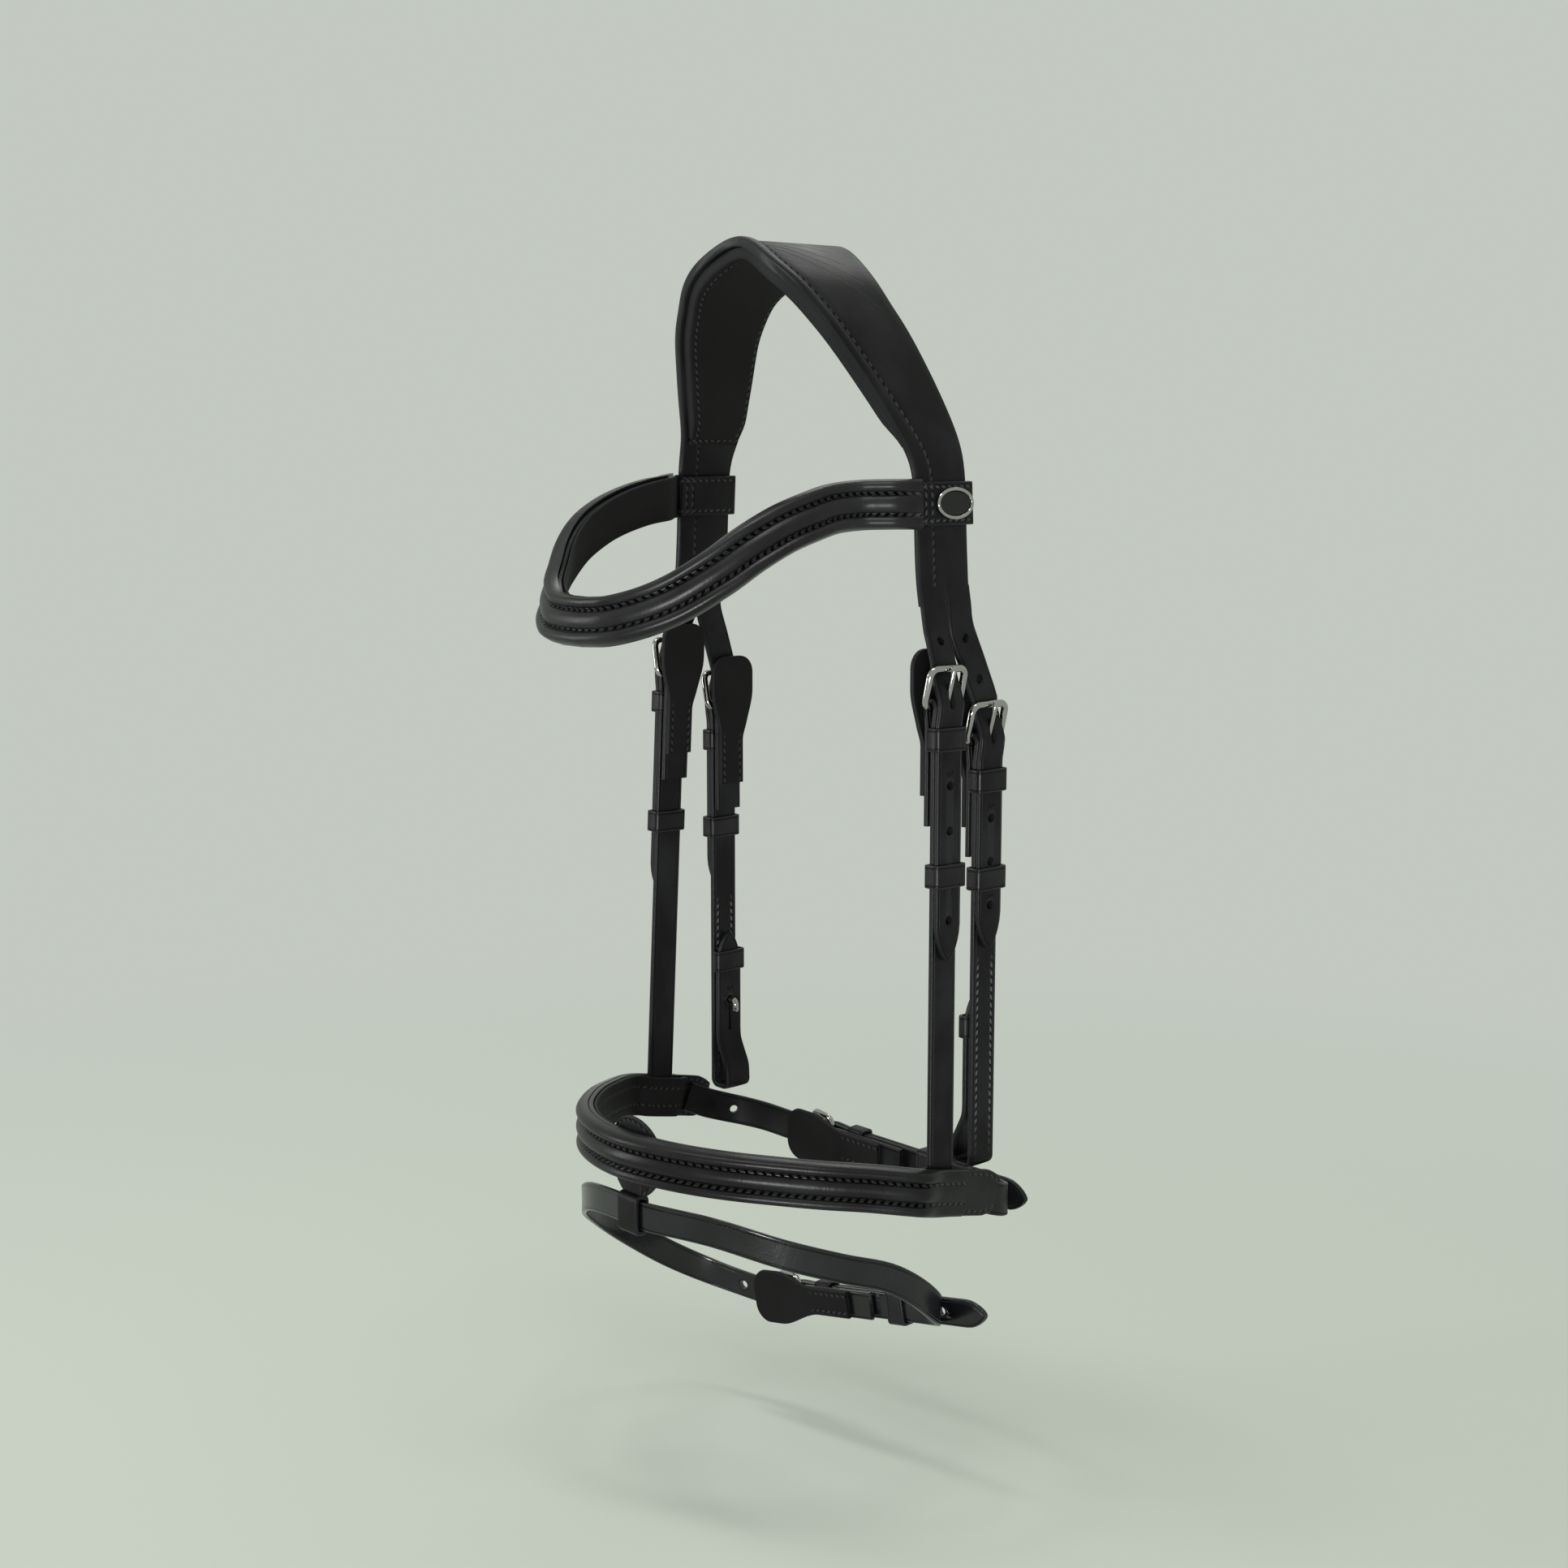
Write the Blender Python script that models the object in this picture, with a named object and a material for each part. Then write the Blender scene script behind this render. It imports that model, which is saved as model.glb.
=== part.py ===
"""Flash-noseband bridle, as an assembly of straps, pads, buckles and keepers.

Metres, +Z up. The origin is the underside of the headpiece padding at the poll.
+X is the horse's left, where the concho sits, and -Y points to the forehead and nose.
A buckle station has its own frame: across the strap, out of its face, and up towards the billet.
"""

import math

import bmesh
import bpy
from mathutils import Vector

MM = 0.001

# Leather, padding and wire
PLY = 2.5 * MM
EDGE_CHAMFER = 0.6 * MM
SEWN_GAP = 0.3 * MM
WIRE_RADIUS = 1.75 * MM
TONGUE_RADIUS = 1.3 * MM
STRAP_WIDTH = 16 * MM
FLASH_WIDTH = 14 * MM

# Headpiece: an arch over the poll that narrows to a neck on each side
ARCH_HALF_WIDTH = 87.5 * MM
CHEEK_BAR_DROP = 223 * MM
NECK_TO_BAR = 58.5 * MM
ARCH_DROP = CHEEK_BAR_DROP - NECK_TO_BAR
CROWN_HALF_LENGTH = 34 * MM
CROWN_PLY = 3.5 * MM
CROWN_ROLL_WIDTH = 8 * MM
CROWN_ROLL_HEIGHT = 1.8 * MM
POLL_PAD_THICKNESS = 6.2 * MM
POLL_PAD_INSET = 2.5 * MM
POLL_PAD_DROP = 86 * MM
# Each row: out and down along the arch, then the front and the rear edge
ARCH_SHARES = (
    (0.07, 0.0, -0.91, 1.0),
    (0.25, -0.052, -1.0, 0.88),
    (0.40, -0.108, -0.92, 0.78),
    (0.50, -0.171, -0.78, 0.79),
    (0.60, -0.241, -0.64, 0.85),
    (0.70, -0.343, -0.40, 0.97),
    (0.79, -0.440, -0.18, 1.06),
    (0.87, -0.536, 0.03, 1.13),
    (0.94, -0.623, 0.13, 1.08),
    (0.955, -0.769, 0.13, 1.08),
    (0.97, -0.915, 0.13, 1.08),
    (1.0, -1.0, 0.12, 1.08),
)
BILLET_START_RISE = 9 * MM
BILLET_DROP = 12 * MM

# Buckle stations: each bar's place, and the foot that its strap runs down to
HANGER_BAR_OUT = 97 * MM
HANGER_BAR_BACK = 10.5 * MM
BAR_STAGGER = 19 * MM
HANGER_BAR_DROP = CHEEK_BAR_DROP - BAR_STAGGER
HANGER_FOOT_BACK = 4 * MM
HANGER_TUCK_DEPTH = 15 * MM
CHEEK_BAR_OUT = 93.8 * MM
CHEEK_BAR_BACK = 42 * MM
CHEEK_FOOT_DROP = 430 * MM

# Buckles and guards, measured up the strap from the bar
BUCKLE_SIDE_CLEARANCE = 1.5 * MM
BUCKLE_LENGTH = 18 * MM
BUCKLE_CORNER = 4 * MM
CROSSBAR_RISE = 4.2 * MM
TURN_BACK_LENGTH = 55 * MM
TURN_CONVERGE = 9 * MM
TONGUE_SLOT_WIDTH = 4.4 * MM
TONGUE_SLOT_DEPTH = 5.6 * MM
GUARD_THICKNESS = 2.4 * MM
GUARD_WIDTH = 28 * MM
GUARD_TOP = 27 * MM
GUARD_FOOT = 41 * MM
GUARD_CORNER = 9 * MM

# Keepers
KEEPER_WALL = 1.6 * MM
KEEPER_TUCKED_WALL = 1.0 * MM
KEEPER_HEIGHT = 11 * MM
KEEPER_CLEARANCE = 0.45 * MM
HANGER_FIXED_KEEPER_DROP = 14.5 * MM
CHEEK_FIXED_KEEPER_DROP = 18 * MM

# Billets and their holes
HOLE_DIAMETER = 4.4 * MM
HOLE_PITCH = 21 * MM
ENGAGED_HOLE_LENGTH = 11.6 * MM
ENGAGED_HOLE_WIDTH = 3.8 * MM
TIP_LENGTH = 13 * MM
TIP_WIDTH = 5 * MM
HANGER_BILLET_REACH = 118 * MM
CHEEK_BILLET_REACH = 99 * MM
CHIN_BILLET_REACH = 135 * MM
FLASH_BILLET_REACH = 127 * MM
HANGER_SLIDING_KEEPER_DROP = 78 * MM
CHEEK_SLIDING_KEEPER_DROP = 65 * MM
CHIN_SLIDING_KEEPER_DROP = 70 * MM

# Bit ends of the cheekpieces
BIT_LOOP_OPENING = 9 * MM
BIT_LOOP_HEIGHT = 22 * MM
BIT_SEAT_LENGTH = 5 * MM
BIT_TIP_RISE = 84 * MM
BIT_KEEPER_RISE = 69 * MM
BIT_STUD_RISE = 47 * MM
BIT_STUD_REACH = 4.5 * MM
BIT_STUD_HOOK = 6 * MM
BIT_SLIT_LENGTH = 17 * MM
BIT_SLIT_WIDTH = 2 * MM

# Browband
BROW_HEIGHT = 20 * MM
BROW_PLY = 2.2 * MM
BROW_SIDE_OUT = 88.5 * MM
BROW_REACH = 123.5 * MM
BROW_ABOVE_FORK = 53.5 * MM
BROW_TOP_LEVEL = ARCH_DROP - BROW_ABOVE_FORK
BROW_DIP = 52 * MM
BROW_LOOP_SLACK = 0.9 * MM
BROW_PAD_HEIGHT = 23 * MM
BROW_PAD_THICKNESS = 6 * MM
BROW_TAPER = 14 * MM
# Each row: out, forwards and down along the browband from its tab to the middle
BROW_SHARES = (
    (0.905, -0.045, 0.0),
    (0.79, -0.13, 0.01),
    (0.75, -0.25, 0.04),
    (0.745, -0.37, 0.11),
    (0.725, -0.49, 0.21),
    (0.69, -0.61, 0.36),
    (0.62, -0.72, 0.56),
    (0.51, -0.82, 0.75),
    (0.385, -0.91, 0.885),
    (0.22, -0.98, 0.975),
    (0.07, -1.0, 1.0),
)
BROW_LINING = 1.5 * MM
BROW_LEAN = math.radians(14)

# Concho
CONCHO_LENGTH = 24 * MM
CONCHO_HEIGHT = 15 * MM
CONCHO_RIM_RADIUS = 1.1 * MM
CONCHO_PLATE = 1.2 * MM
CONCHO_INSET = 14 * MM

# Noseband
NOSE_HALF_WIDTH = 109.5 * MM
NOSE_REACH = 102 * MM
NOSE_HEIGHT = 22.5 * MM
NOSE_PLY = 2.4 * MM
NOSE_FRONT_LEVEL = 417 * MM
NOSE_DROOP = 24 * MM
NOSE_PAD_THICKNESS = 6 * MM
NOSE_PAD_END_BACK = 20 * MM
NOSE_LINING = 1.8 * MM
NOSE_TAPER = 9 * MM
NOSE_THIN_END = 20 * MM
HANGER_TUCK_WIDTH = 20 * MM
HANGER_TUCK_GAP = 0.5 * MM
HANGER_TUCK_EASE = 0.6 * MM
HANGER_TUCK_RAMP = 7 * MM
# Each row: out, back and down round the noseband from the middle of the nose to its end
NOSE_SHARES = (
    (0.06, -1.0, 0.0),
    (0.20, -0.97, 0.01),
    (0.35, -0.905, 0.04),
    (0.50, -0.80, 0.09),
    (0.64, -0.66, 0.16),
    (0.77, -0.50, 0.25),
    (0.875, -0.33, 0.35),
    (0.96, -0.185, 0.46),
    (0.999, -0.06, 0.58),
    (1.0, 0.10, 0.72),
    (1.0, 0.26, 0.87),
    (1.0, 0.39, 1.0),
)

# Chin strap, behind the jaw
CHIN_BACK = 66 * MM
CHIN_DROP = 453 * MM
CHIN_BAR_FAR = 33 * MM
CHIN_START_BACK = 24 * MM
# Each row: out and back round the jaw's corner, and down from the noseband to the chin
CHIN_SHARES = (
    (1.0, 0.0, 0.0),
    (1.0, 0.30, 0.38),
    (0.985, 0.58, 0.66),
    (0.925, 0.82, 0.86),
    (0.81, 0.96, 0.97),
    (0.66, 1.0, 1.0),
)

# Flash: its tab, its loop under the nosepiece, and the strap's ring
FLASH_TAB_WIDTH = 40 * MM
FLASH_TAB_RISE = 6 * MM
FLASH_TAB_PLY = 2.2 * MM
FLASH_LOOP_WIDTH = 14 * MM
FLASH_HALF_WIDTH = 90 * MM
FLASH_LENGTH = 127 * MM
FLASH_FRONT_REACH = 97 * MM
FLASH_FRONT_DROP = 447 * MM
FLASH_HANG = 86 * MM
FLASH_LOOP_SLACK = 0.8 * MM
FLASH_TURN_DROP = 93 * MM
FLASH_TURN_STRAIGHT = 8 * MM
# Each row: out, back and down round the ring from the loop under the nose
FLASH_NEAR_SHARES = (
    (0.955, 0.953, -0.651),
    (1.0, 0.81, -0.477),
    (0.98, 0.66, -0.337),
    (0.91, 0.465, -0.233),
    (0.78, 0.26, -0.116),
    (0.5, 0.09, -0.01),
    (0.14, 0.007, 0.0),
    (0.0, 0.0, 0.0),
)
FLASH_FAR_SHARES = (
    (-0.14, 0.007, 0.0),
    (-0.46, 0.055, -0.05),
    (-0.75, 0.17, -0.19),
    (-0.93, 0.33, -0.36),
    (-1.0, 0.52, -0.57),
    (-0.97, 0.73, -0.79),
    (-0.82, 0.90, -0.94),
)
FLASH_BAR_SHARES = (-0.2, 0.98, -0.93)
FLASH_RUN_SHARES = (-0.981, -0.031, -0.188)

# Colours, roughness and metallic values of the finishes
BLACK_LEATHER = ((0.012, 0.012, 0.013), 0.42, 0.0)
INNER_LEATHER = ((0.010, 0.010, 0.010), 0.70, 0.0)
POLISHED_STEEL = ((0.62, 0.62, 0.60), 0.16, 1.0)
BLACK_LACQUER = ((0.014, 0.014, 0.015), 0.20, 0.0)

UP = Vector((0, 0, 1))
BACKWARDS = Vector((0, 1, 0))
SIDES = (("left", 1), ("right", -1))


# Materials and objects

def finish(name, look):
    colour, roughness, metallic = look
    material = bpy.data.materials.new(name)
    material.use_nodes = True
    shader = material.node_tree.nodes["Principled BSDF"]
    shader.inputs["Base Color"].default_value = (*colour, 1)
    shader.inputs["Roughness"].default_value = roughness
    shader.inputs["Metallic"].default_value = metallic
    return material


def add_object(name, mesh, look, origin=None):
    """An object from a bmesh whose points are in world space. Its own origin can lie on a joint's axis."""
    bmesh.ops.recalc_face_normals(mesh, faces=mesh.faces)
    if origin is not None:
        bmesh.ops.translate(mesh, verts=mesh.verts, vec=-origin)
    data = bpy.data.meshes.new(name)
    mesh.to_mesh(data)
    mesh.free()
    data.shade_smooth()
    data.set_sharp_from_angle(angle=math.radians(35))
    thing = bpy.data.objects.new(name, data)
    if origin is not None:
        thing.location = origin
    thing.data.materials.append(finish(name, look))
    bpy.context.scene.collection.objects.link(thing)
    return thing


def combine(target, helper_mesh, name, operation):
    """A live Boolean with a hidden helper."""
    bmesh.ops.recalc_face_normals(helper_mesh, faces=helper_mesh.faces)
    data = bpy.data.meshes.new(name)
    helper_mesh.to_mesh(data)
    helper_mesh.free()
    helper = bpy.data.objects.new(name, data)
    helper.hide_render = True
    helper.display_type = "WIRE"
    bpy.context.scene.collection.objects.link(helper)
    modifier = target.modifiers.new(name, "BOOLEAN")
    modifier.operation = operation
    modifier.solver = "EXACT"
    modifier.object = helper


# Routes and sweeps

def smooth_route(points, steps):
    """Points on a smooth curve through the given ones."""
    ends = [points[0] * 2 - points[1]] + list(points) + [points[-1] * 2 - points[-2]]
    route = []
    for before, start, end, after in zip(ends, ends[1:], ends[2:], ends[3:]):
        for step in range(steps):
            t = step / steps
            spread = (end - before) * t + (before * 2 - start * 5 + end * 4 - after) * t * t
            spread += (start * 3 - before - end * 3 + after) * t * t * t
            route.append(start + spread / 2)
    return route + [points[-1]]


def frames(route, across_hint=None, out_hint=None):
    """Each point of a route with the directions across the strap and out of its face.

    The hint across is one direction, or one for each point.
    """
    hints = across_hint if isinstance(across_hint, list) else [across_hint] * len(route)
    found = []
    last = len(route) - 1
    for k, point in enumerate(route):
        before = (point - route[max(k - 1, 0)]).normalized()
        after = (route[min(k + 1, last)] - point).normalized()
        along = (before + after).normalized()
        if out_hint is None:
            across = (hints[k] - along * hints[k].dot(along)).normalized()
            out = across.cross(along)
        else:
            out = (out_hint - along * out_hint.dot(along)).normalized()
            across = along.cross(out)
        found.append((point, across, out))
    return found


def loft(rings, closed=False):
    """A closed solid through rings of points; open ends are capped."""
    mesh = bmesh.new()
    loops = [[mesh.verts.new(point) for point in ring] for ring in rings]
    pairs = list(zip(loops, loops[1:]))
    if closed:
        pairs.append((loops[-1], loops[0]))
    for first, second in pairs:
        for a, b, c, d in zip(first, first[1:] + first[:1], second[1:] + second[:1], second):
            mesh.faces.new((a, b, c, d))
    if not closed:
        mesh.faces.new(loops[0][::-1])
        mesh.faces.new(loops[-1])
    bmesh.ops.recalc_face_normals(mesh, faces=mesh.faces)
    return mesh


def sweep(stations, section_of, closed=False):
    """A loft along stations. section_of(k) gives the outline as (across, out) pairs."""
    rings = []
    for k, (point, across, out) in enumerate(stations):
        rings.append([point + across * a + out * o for a, o in section_of(k)])
    return loft(rings, closed)


def strap_section(half_width, ply=PLY, middle=0.0):
    """The outline of a flat strap with chamfered edges."""
    chamfer = min(EDGE_CHAMFER, half_width / 3)
    half = ply / 2
    side = half - chamfer
    corners = []
    for a_sign, o_sign in ((1, -1), (1, 1), (-1, 1), (-1, -1)):
        beside = (a_sign * half_width, middle + o_sign * side)
        above = (a_sign * (half_width - chamfer), middle + o_sign * half)
        corners += [above, beside] if a_sign * o_sign < 0 else [beside, above]
    return corners


def flat_section(half_width, ply, middle):
    """The outline of an inner ply, with square edges."""
    low, high = middle - ply / 2, middle + ply / 2
    upper = [(half_width, high), (0, high), (-half_width, high)]
    return upper + [(-half_width, low), (0, low), (half_width, low)]


def lengths_along(points):
    """How far along the route each point lies."""
    reached = [0.0]
    for first, second in zip(points, points[1:]):
        reached.append(reached[-1] + (second - first).length)
    return reached


def ramp(value):
    """0 below 0, 1 above 1, and a smooth step between."""
    value = min(max(value, 0), 1)
    return value * value * (3 - 2 * value)


def wire(route, radius, sides=6, closed=False, hint=UP):
    """A round wire along a route."""
    count = len(route)
    rings = []
    for k, point in enumerate(route):
        before = route[k - 1] if closed or k else point
        after = route[(k + 1) % count] if closed or k + 1 < count else point
        along = (after - before).normalized()
        across = (hint - along * hint.dot(along)).normalized()
        out = across.cross(along)
        turns = [math.tau * (side + 0.5) / sides for side in range(sides)]
        rings.append([point + across * (math.cos(a) * radius) + out * (math.sin(a) * radius) for a in turns])
    return loft(rings, closed)


def cylinder_between(start, end, radius, sides=6, hint=UP):
    return wire([start, end], radius, sides, hint=hint)


def join(meshes):
    """Several meshes as one, for helpers whose solids lie apart."""
    whole = bmesh.new()
    for mesh in meshes:
        piece = bpy.data.meshes.new("joined")
        mesh.to_mesh(piece)
        mesh.free()
        whole.from_mesh(piece)
        bpy.data.meshes.remove(piece)
    return whole


# Buckle stations

class Station:
    """A buckle's own frame: its bar's place, and unit directions across, out and up the strap."""

    def __init__(self, bar, up, across_hint, fixed_drop, sliding_drop, width=STRAP_WIDTH):
        self.bar = bar
        self.up = up.normalized()
        self.across = (across_hint - self.up * across_hint.dot(self.up)).normalized()
        self.out = self.up.cross(self.across)
        self.width = width
        self.foot = -up.length
        self.fixed_drop = fixed_drop
        self.sliding_drop = sliding_drop

    def at(self, up, out=0.0, across=0.0):
        return self.bar + self.up * up + self.out * out + self.across * across


# Levels out of the strap's face at a station
BAR_TURN = WIRE_RADIUS + SEWN_GAP + PLY / 2
KEEPER_SLOT = KEEPER_TUCKED_WALL + 2 * SEWN_GAP
MAIN_LEVEL = KEEPER_SLOT / 2 + PLY / 2
BILLET_LEVEL = MAIN_LEVEL + PLY + SEWN_GAP
BILLET_OVER_BAR = BAR_TURN + PLY + SEWN_GAP
BILLET_UNDER_CROSSBAR = CROSSBAR_RISE - WIRE_RADIUS - SEWN_GAP - PLY / 2
GUARD_FOOT_LEVEL = -MAIN_LEVEL - PLY / 2 - SEWN_GAP - GUARD_THICKNESS / 2
GUARD_BAR_LEVEL = -BAR_TURN - PLY / 2 - SEWN_GAP - GUARD_THICKNESS / 2


def turn_route(station, turn_back=TURN_BACK_LENGTH):
    """From the main ply's start below the bar, round the bar, and back down inside."""
    outer = [station.at(-TURN_CONVERGE - PLY, MAIN_LEVEL), station.at(-TURN_CONVERGE, MAIN_LEVEL)]
    bend = []
    steps = 8
    for step in range(steps + 1):
        angle = math.pi / 2 - math.pi * step / steps
        bend.append(station.at(BAR_TURN * math.cos(angle), BAR_TURN * math.sin(angle)))
    inner = [station.at(-TURN_CONVERGE, -MAIN_LEVEL), station.at(-turn_back, -MAIN_LEVEL)]
    return outer + bend + inner


def slot_cutter(station):
    """Clears the tongue's eye through the turn of the strap."""
    half = TONGUE_SLOT_WIDTH / 2
    rim = BAR_TURN + PLY
    rings = []
    for out in (-rim, rim):
        corners = ((-TONGUE_SLOT_DEPTH, -half), (-TONGUE_SLOT_DEPTH, half), (rim, half), (rim, -half))
        rings.append([station.at(up, out, across) for up, across in corners])
    return loft(rings)


def billet_route(station, reach):
    """From above the crossbar, under it, over the bar and down to the tip."""
    clear = BUCKLE_LENGTH + WIRE_RADIUS
    return [
        station.at(clear, BILLET_UNDER_CROSSBAR),
        station.at(BUCKLE_LENGTH, BILLET_UNDER_CROSSBAR),
        station.at(BUCKLE_LENGTH - 2 * WIRE_RADIUS, BILLET_UNDER_CROSSBAR + EDGE_CHAMFER),
        station.at(BAR_TURN, BILLET_OVER_BAR - EDGE_CHAMFER / 2),
        station.at(0, BILLET_OVER_BAR),
        station.at(-TURN_CONVERGE / 2, BILLET_OVER_BAR - EDGE_CHAMFER),
        station.at(-TURN_CONVERGE, BILLET_LEVEL),
        station.at(-station.sliding_drop, BILLET_LEVEL),
        station.at(-reach + TIP_LENGTH, BILLET_LEVEL),
        station.at(-reach + TIP_LENGTH / 3, BILLET_LEVEL),
        station.at(-reach, BILLET_LEVEL),
    ]


def billet_half_width(left_to_tip, width):
    """The strap's half width this far from the billet's tip."""
    share = math.sqrt(min(left_to_tip / TIP_LENGTH, 1))
    return TIP_WIDTH / 2 + (width - TIP_WIDTH) / 2 * share


def engaged_hole(station):
    """The oval hole that the tongue passes through."""
    rise = (BILLET_OVER_BAR - BILLET_UNDER_CROSSBAR) / BUCKLE_LENGTH
    middle = (BILLET_OVER_BAR - BAR_TURN) / (rise + tongue_rise() / BUCKLE_LENGTH)
    half_straight = (ENGAGED_HOLE_LENGTH - ENGAGED_HOLE_WIDTH) / 2
    radius = ENGAGED_HOLE_WIDTH / 2
    outline = []
    for end in (1, -1):
        for step in range(5):
            angle = math.pi * (step / 4 - 0.5) + (0 if end > 0 else math.pi)
            up = middle + end * half_straight + radius * math.cos(angle)
            outline.append((up, radius * math.sin(angle)))
    levels = (BILLET_UNDER_CROSSBAR - PLY - SEWN_GAP, BILLET_OVER_BAR + PLY)
    return loft([[station.at(up, out, across) for up, across in outline] for out in levels])


def plain_holes(station, reach):
    """Round holes down the billet's end."""
    cutters = []
    first = -BUCKLE_LENGTH * 2
    count = int((reach + first - TIP_LENGTH) / HOLE_PITCH) + 1
    for number in range(count):
        up = first - number * HOLE_PITCH
        low = station.at(up, BILLET_LEVEL - PLY / 2 - SEWN_GAP / 2)
        high = station.at(up, BILLET_LEVEL + PLY)
        cutters.append(cylinder_between(low, high, HOLE_DIAMETER / 2, hint=station.up))
    return cutters


def tongue_rise():
    """How far the tongue climbs from the bar's turn to the top of the crossbar."""
    return CROSSBAR_RISE + WIRE_RADIUS + SEWN_GAP + TONGUE_RADIUS - BAR_TURN


# Buckle pieces

def buckle_frame(name, station):
    """The wire frame: its bar in the strap's turn, its crossbar standing out over the billet."""
    half = station.width / 2 + BUCKLE_SIDE_CLEARANCE + WIRE_RADIUS
    route = []
    for up, across in rounded_rectangle(BUCKLE_LENGTH, 2 * half, BUCKLE_CORNER, 2):
        up += BUCKLE_LENGTH / 2
        route.append(station.at(up, CROSSBAR_RISE * up / BUCKLE_LENGTH, across))
    add_object(name, wire(route, WIRE_RADIUS, 6, closed=True, hint=station.out), POLISHED_STEEL)


def rounded_rectangle(length, width, corner, steps=3):
    """Points round a rectangle with rounded corners, centred on zero."""
    points = []
    for quarter in range(4):
        up_sign = 1 if quarter in (0, 3) else -1
        across_sign = 1 if quarter < 2 else -1
        for step in range(steps + 1):
            angle = math.pi / 2 * (quarter + step / steps)
            up = up_sign * (length / 2 - corner) + corner * math.cos(angle)
            across = across_sign * (width / 2 - corner) + corner * math.sin(angle)
            points.append((up, across))
    return points


def buckle_tongue(name, station):
    """The prong: an eye round the bar, then a straight rise to its rest on the crossbar."""
    eye = BAR_TURN
    route = []
    for step in range(8):
        angle = -math.radians(262) * step / 7
        route.append(station.at(eye * math.cos(angle), eye * math.sin(angle)))
    rest = BAR_TURN + tongue_rise()
    route.append(station.at(BUCKLE_LENGTH / 2, BAR_TURN + tongue_rise() / 2))
    route.append(station.at(BUCKLE_LENGTH, rest))
    route.append(station.at(BUCKLE_LENGTH + TONGUE_RADIUS, rest))
    add_object(name, wire(route, TONGUE_RADIUS, 6, hint=station.across), POLISHED_STEEL, station.bar)


def guard_half_width(up, narrow):
    """Narrow at the foot, wide beside the buckle, with rounded corners at the top."""
    wide = GUARD_WIDTH / 2
    shoulder = GUARD_TOP - GUARD_CORNER
    half = narrow + (wide - narrow) * ramp((up + BUCKLE_LENGTH) / (shoulder - GUARD_CORNER + BUCKLE_LENGTH))
    over = max(up - shoulder, 0) / GUARD_CORNER
    return half - GUARD_CORNER * (1 - math.sqrt(max(1 - over * over, 0)))


def buckle_guard(name, station):
    """The soft leather guard behind the buckle, which steps back where the strap turns."""
    shoulder = GUARD_TOP - GUARD_CORNER
    ups = [-GUARD_FOOT] + [-BUCKLE_LENGTH + (shoulder + BUCKLE_LENGTH) * step / 7 for step in range(8)]
    ups += [shoulder + GUARD_CORNER * math.sin(math.pi / 2 * step / 5) for step in range(1, 6)]
    route = []
    for up in ups:
        step_back = ramp((up + 2 * TURN_CONVERGE) / TURN_CONVERGE)
        route.append(station.at(up, GUARD_FOOT_LEVEL + (GUARD_BAR_LEVEL - GUARD_FOOT_LEVEL) * step_back))
    stations = frames(route, across_hint=station.across)
    halves = [guard_half_width(up, station.width / 2) for up in ups]
    guard = sweep(stations, lambda k: strap_section(halves[k], GUARD_THICKNESS))
    add_object(name, guard, INNER_LEATHER)


def keeper(
    name, station, up, inner, outer, wall_inside=KEEPER_WALL, wall_outside=KEEPER_WALL, clearance=SEWN_GAP
):
    """A leather band round the plies between two levels."""
    half = station.width / 2 + clearance
    low, high = inner - clearance, outer + clearance
    corner = EDGE_CHAMFER
    outside = loop_outline(half + KEEPER_WALL, low - wall_inside, high + wall_outside, 2 * corner)
    inside = loop_outline(half, low, high, corner / 2)
    mesh = bmesh.new()
    rings = []
    for end, drawn_in in ((-1, corner / 2), (-1, 0), (1, 0), (1, corner / 2)):
        level = up + end * (KEEPER_HEIGHT / 2 - (0 if drawn_in else corner / 2))
        centre = (low + high) / 2
        ring = []
        narrower = 1 - drawn_in / half
        for across, out in outside:
            drawn_out = centre + (out - centre) * narrower
            ring.append(mesh.verts.new(station.at(level, drawn_out, across * narrower)))
        rings.append(ring)
    bore = []
    for end in (1, -1):
        level = up + end * KEEPER_HEIGHT / 2
        bore.append([mesh.verts.new(station.at(level, out, across)) for across, out in inside])
    rings += bore
    for first, second in zip(rings, rings[1:] + rings[:1]):
        for a, b, c, d in zip(first, first[1:] + first[:1], second[1:] + second[:1], second):
            mesh.faces.new((a, b, c, d))
    add_object(name, mesh, BLACK_LEATHER, station.at(up))


def loop_outline(half, low, high, corner):
    """A keeper's outline across and out, with one cut at each corner."""
    return [
        (half, low + corner), (half, high - corner), (half - corner, high), (corner - half, high),
        (-half, high - corner), (-half, low + corner), (corner - half, low), (half - corner, low),
    ]


def buckle_pieces(prefix, station):
    """Everything at a station except the two straps."""
    buckle_frame(prefix + "_buckle", station)
    buckle_tongue(prefix + "_tongue", station)
    buckle_guard(prefix + "_guard", station)
    billet_top = BILLET_LEVEL + PLY / 2
    slot = KEEPER_TUCKED_WALL / 2 + SEWN_GAP
    keeper(prefix + "_fixed_keeper", station, -station.fixed_drop, slot, billet_top, KEEPER_TUCKED_WALL)
    keeper(
        prefix + "_sliding_keeper", station, -station.sliding_drop, MAIN_LEVEL - PLY / 2, billet_top,
        clearance=KEEPER_CLEARANCE,
    )


# Headpiece

def arch_half():
    """Points on the seam between the headpiece's leather and its padding, from the poll to one end."""
    crest = POLL_PAD_THICKNESS + SEWN_GAP
    rows = []
    for out, down, front, rear in ARCH_SHARES:
        place = Vector((out * ARCH_HALF_WIDTH, 0, crest + down * ARCH_DROP))
        rows.append((place, Vector((front * CROWN_HALF_LENGTH, rear * CROWN_HALF_LENGTH, 0))))
    return rows


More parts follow.
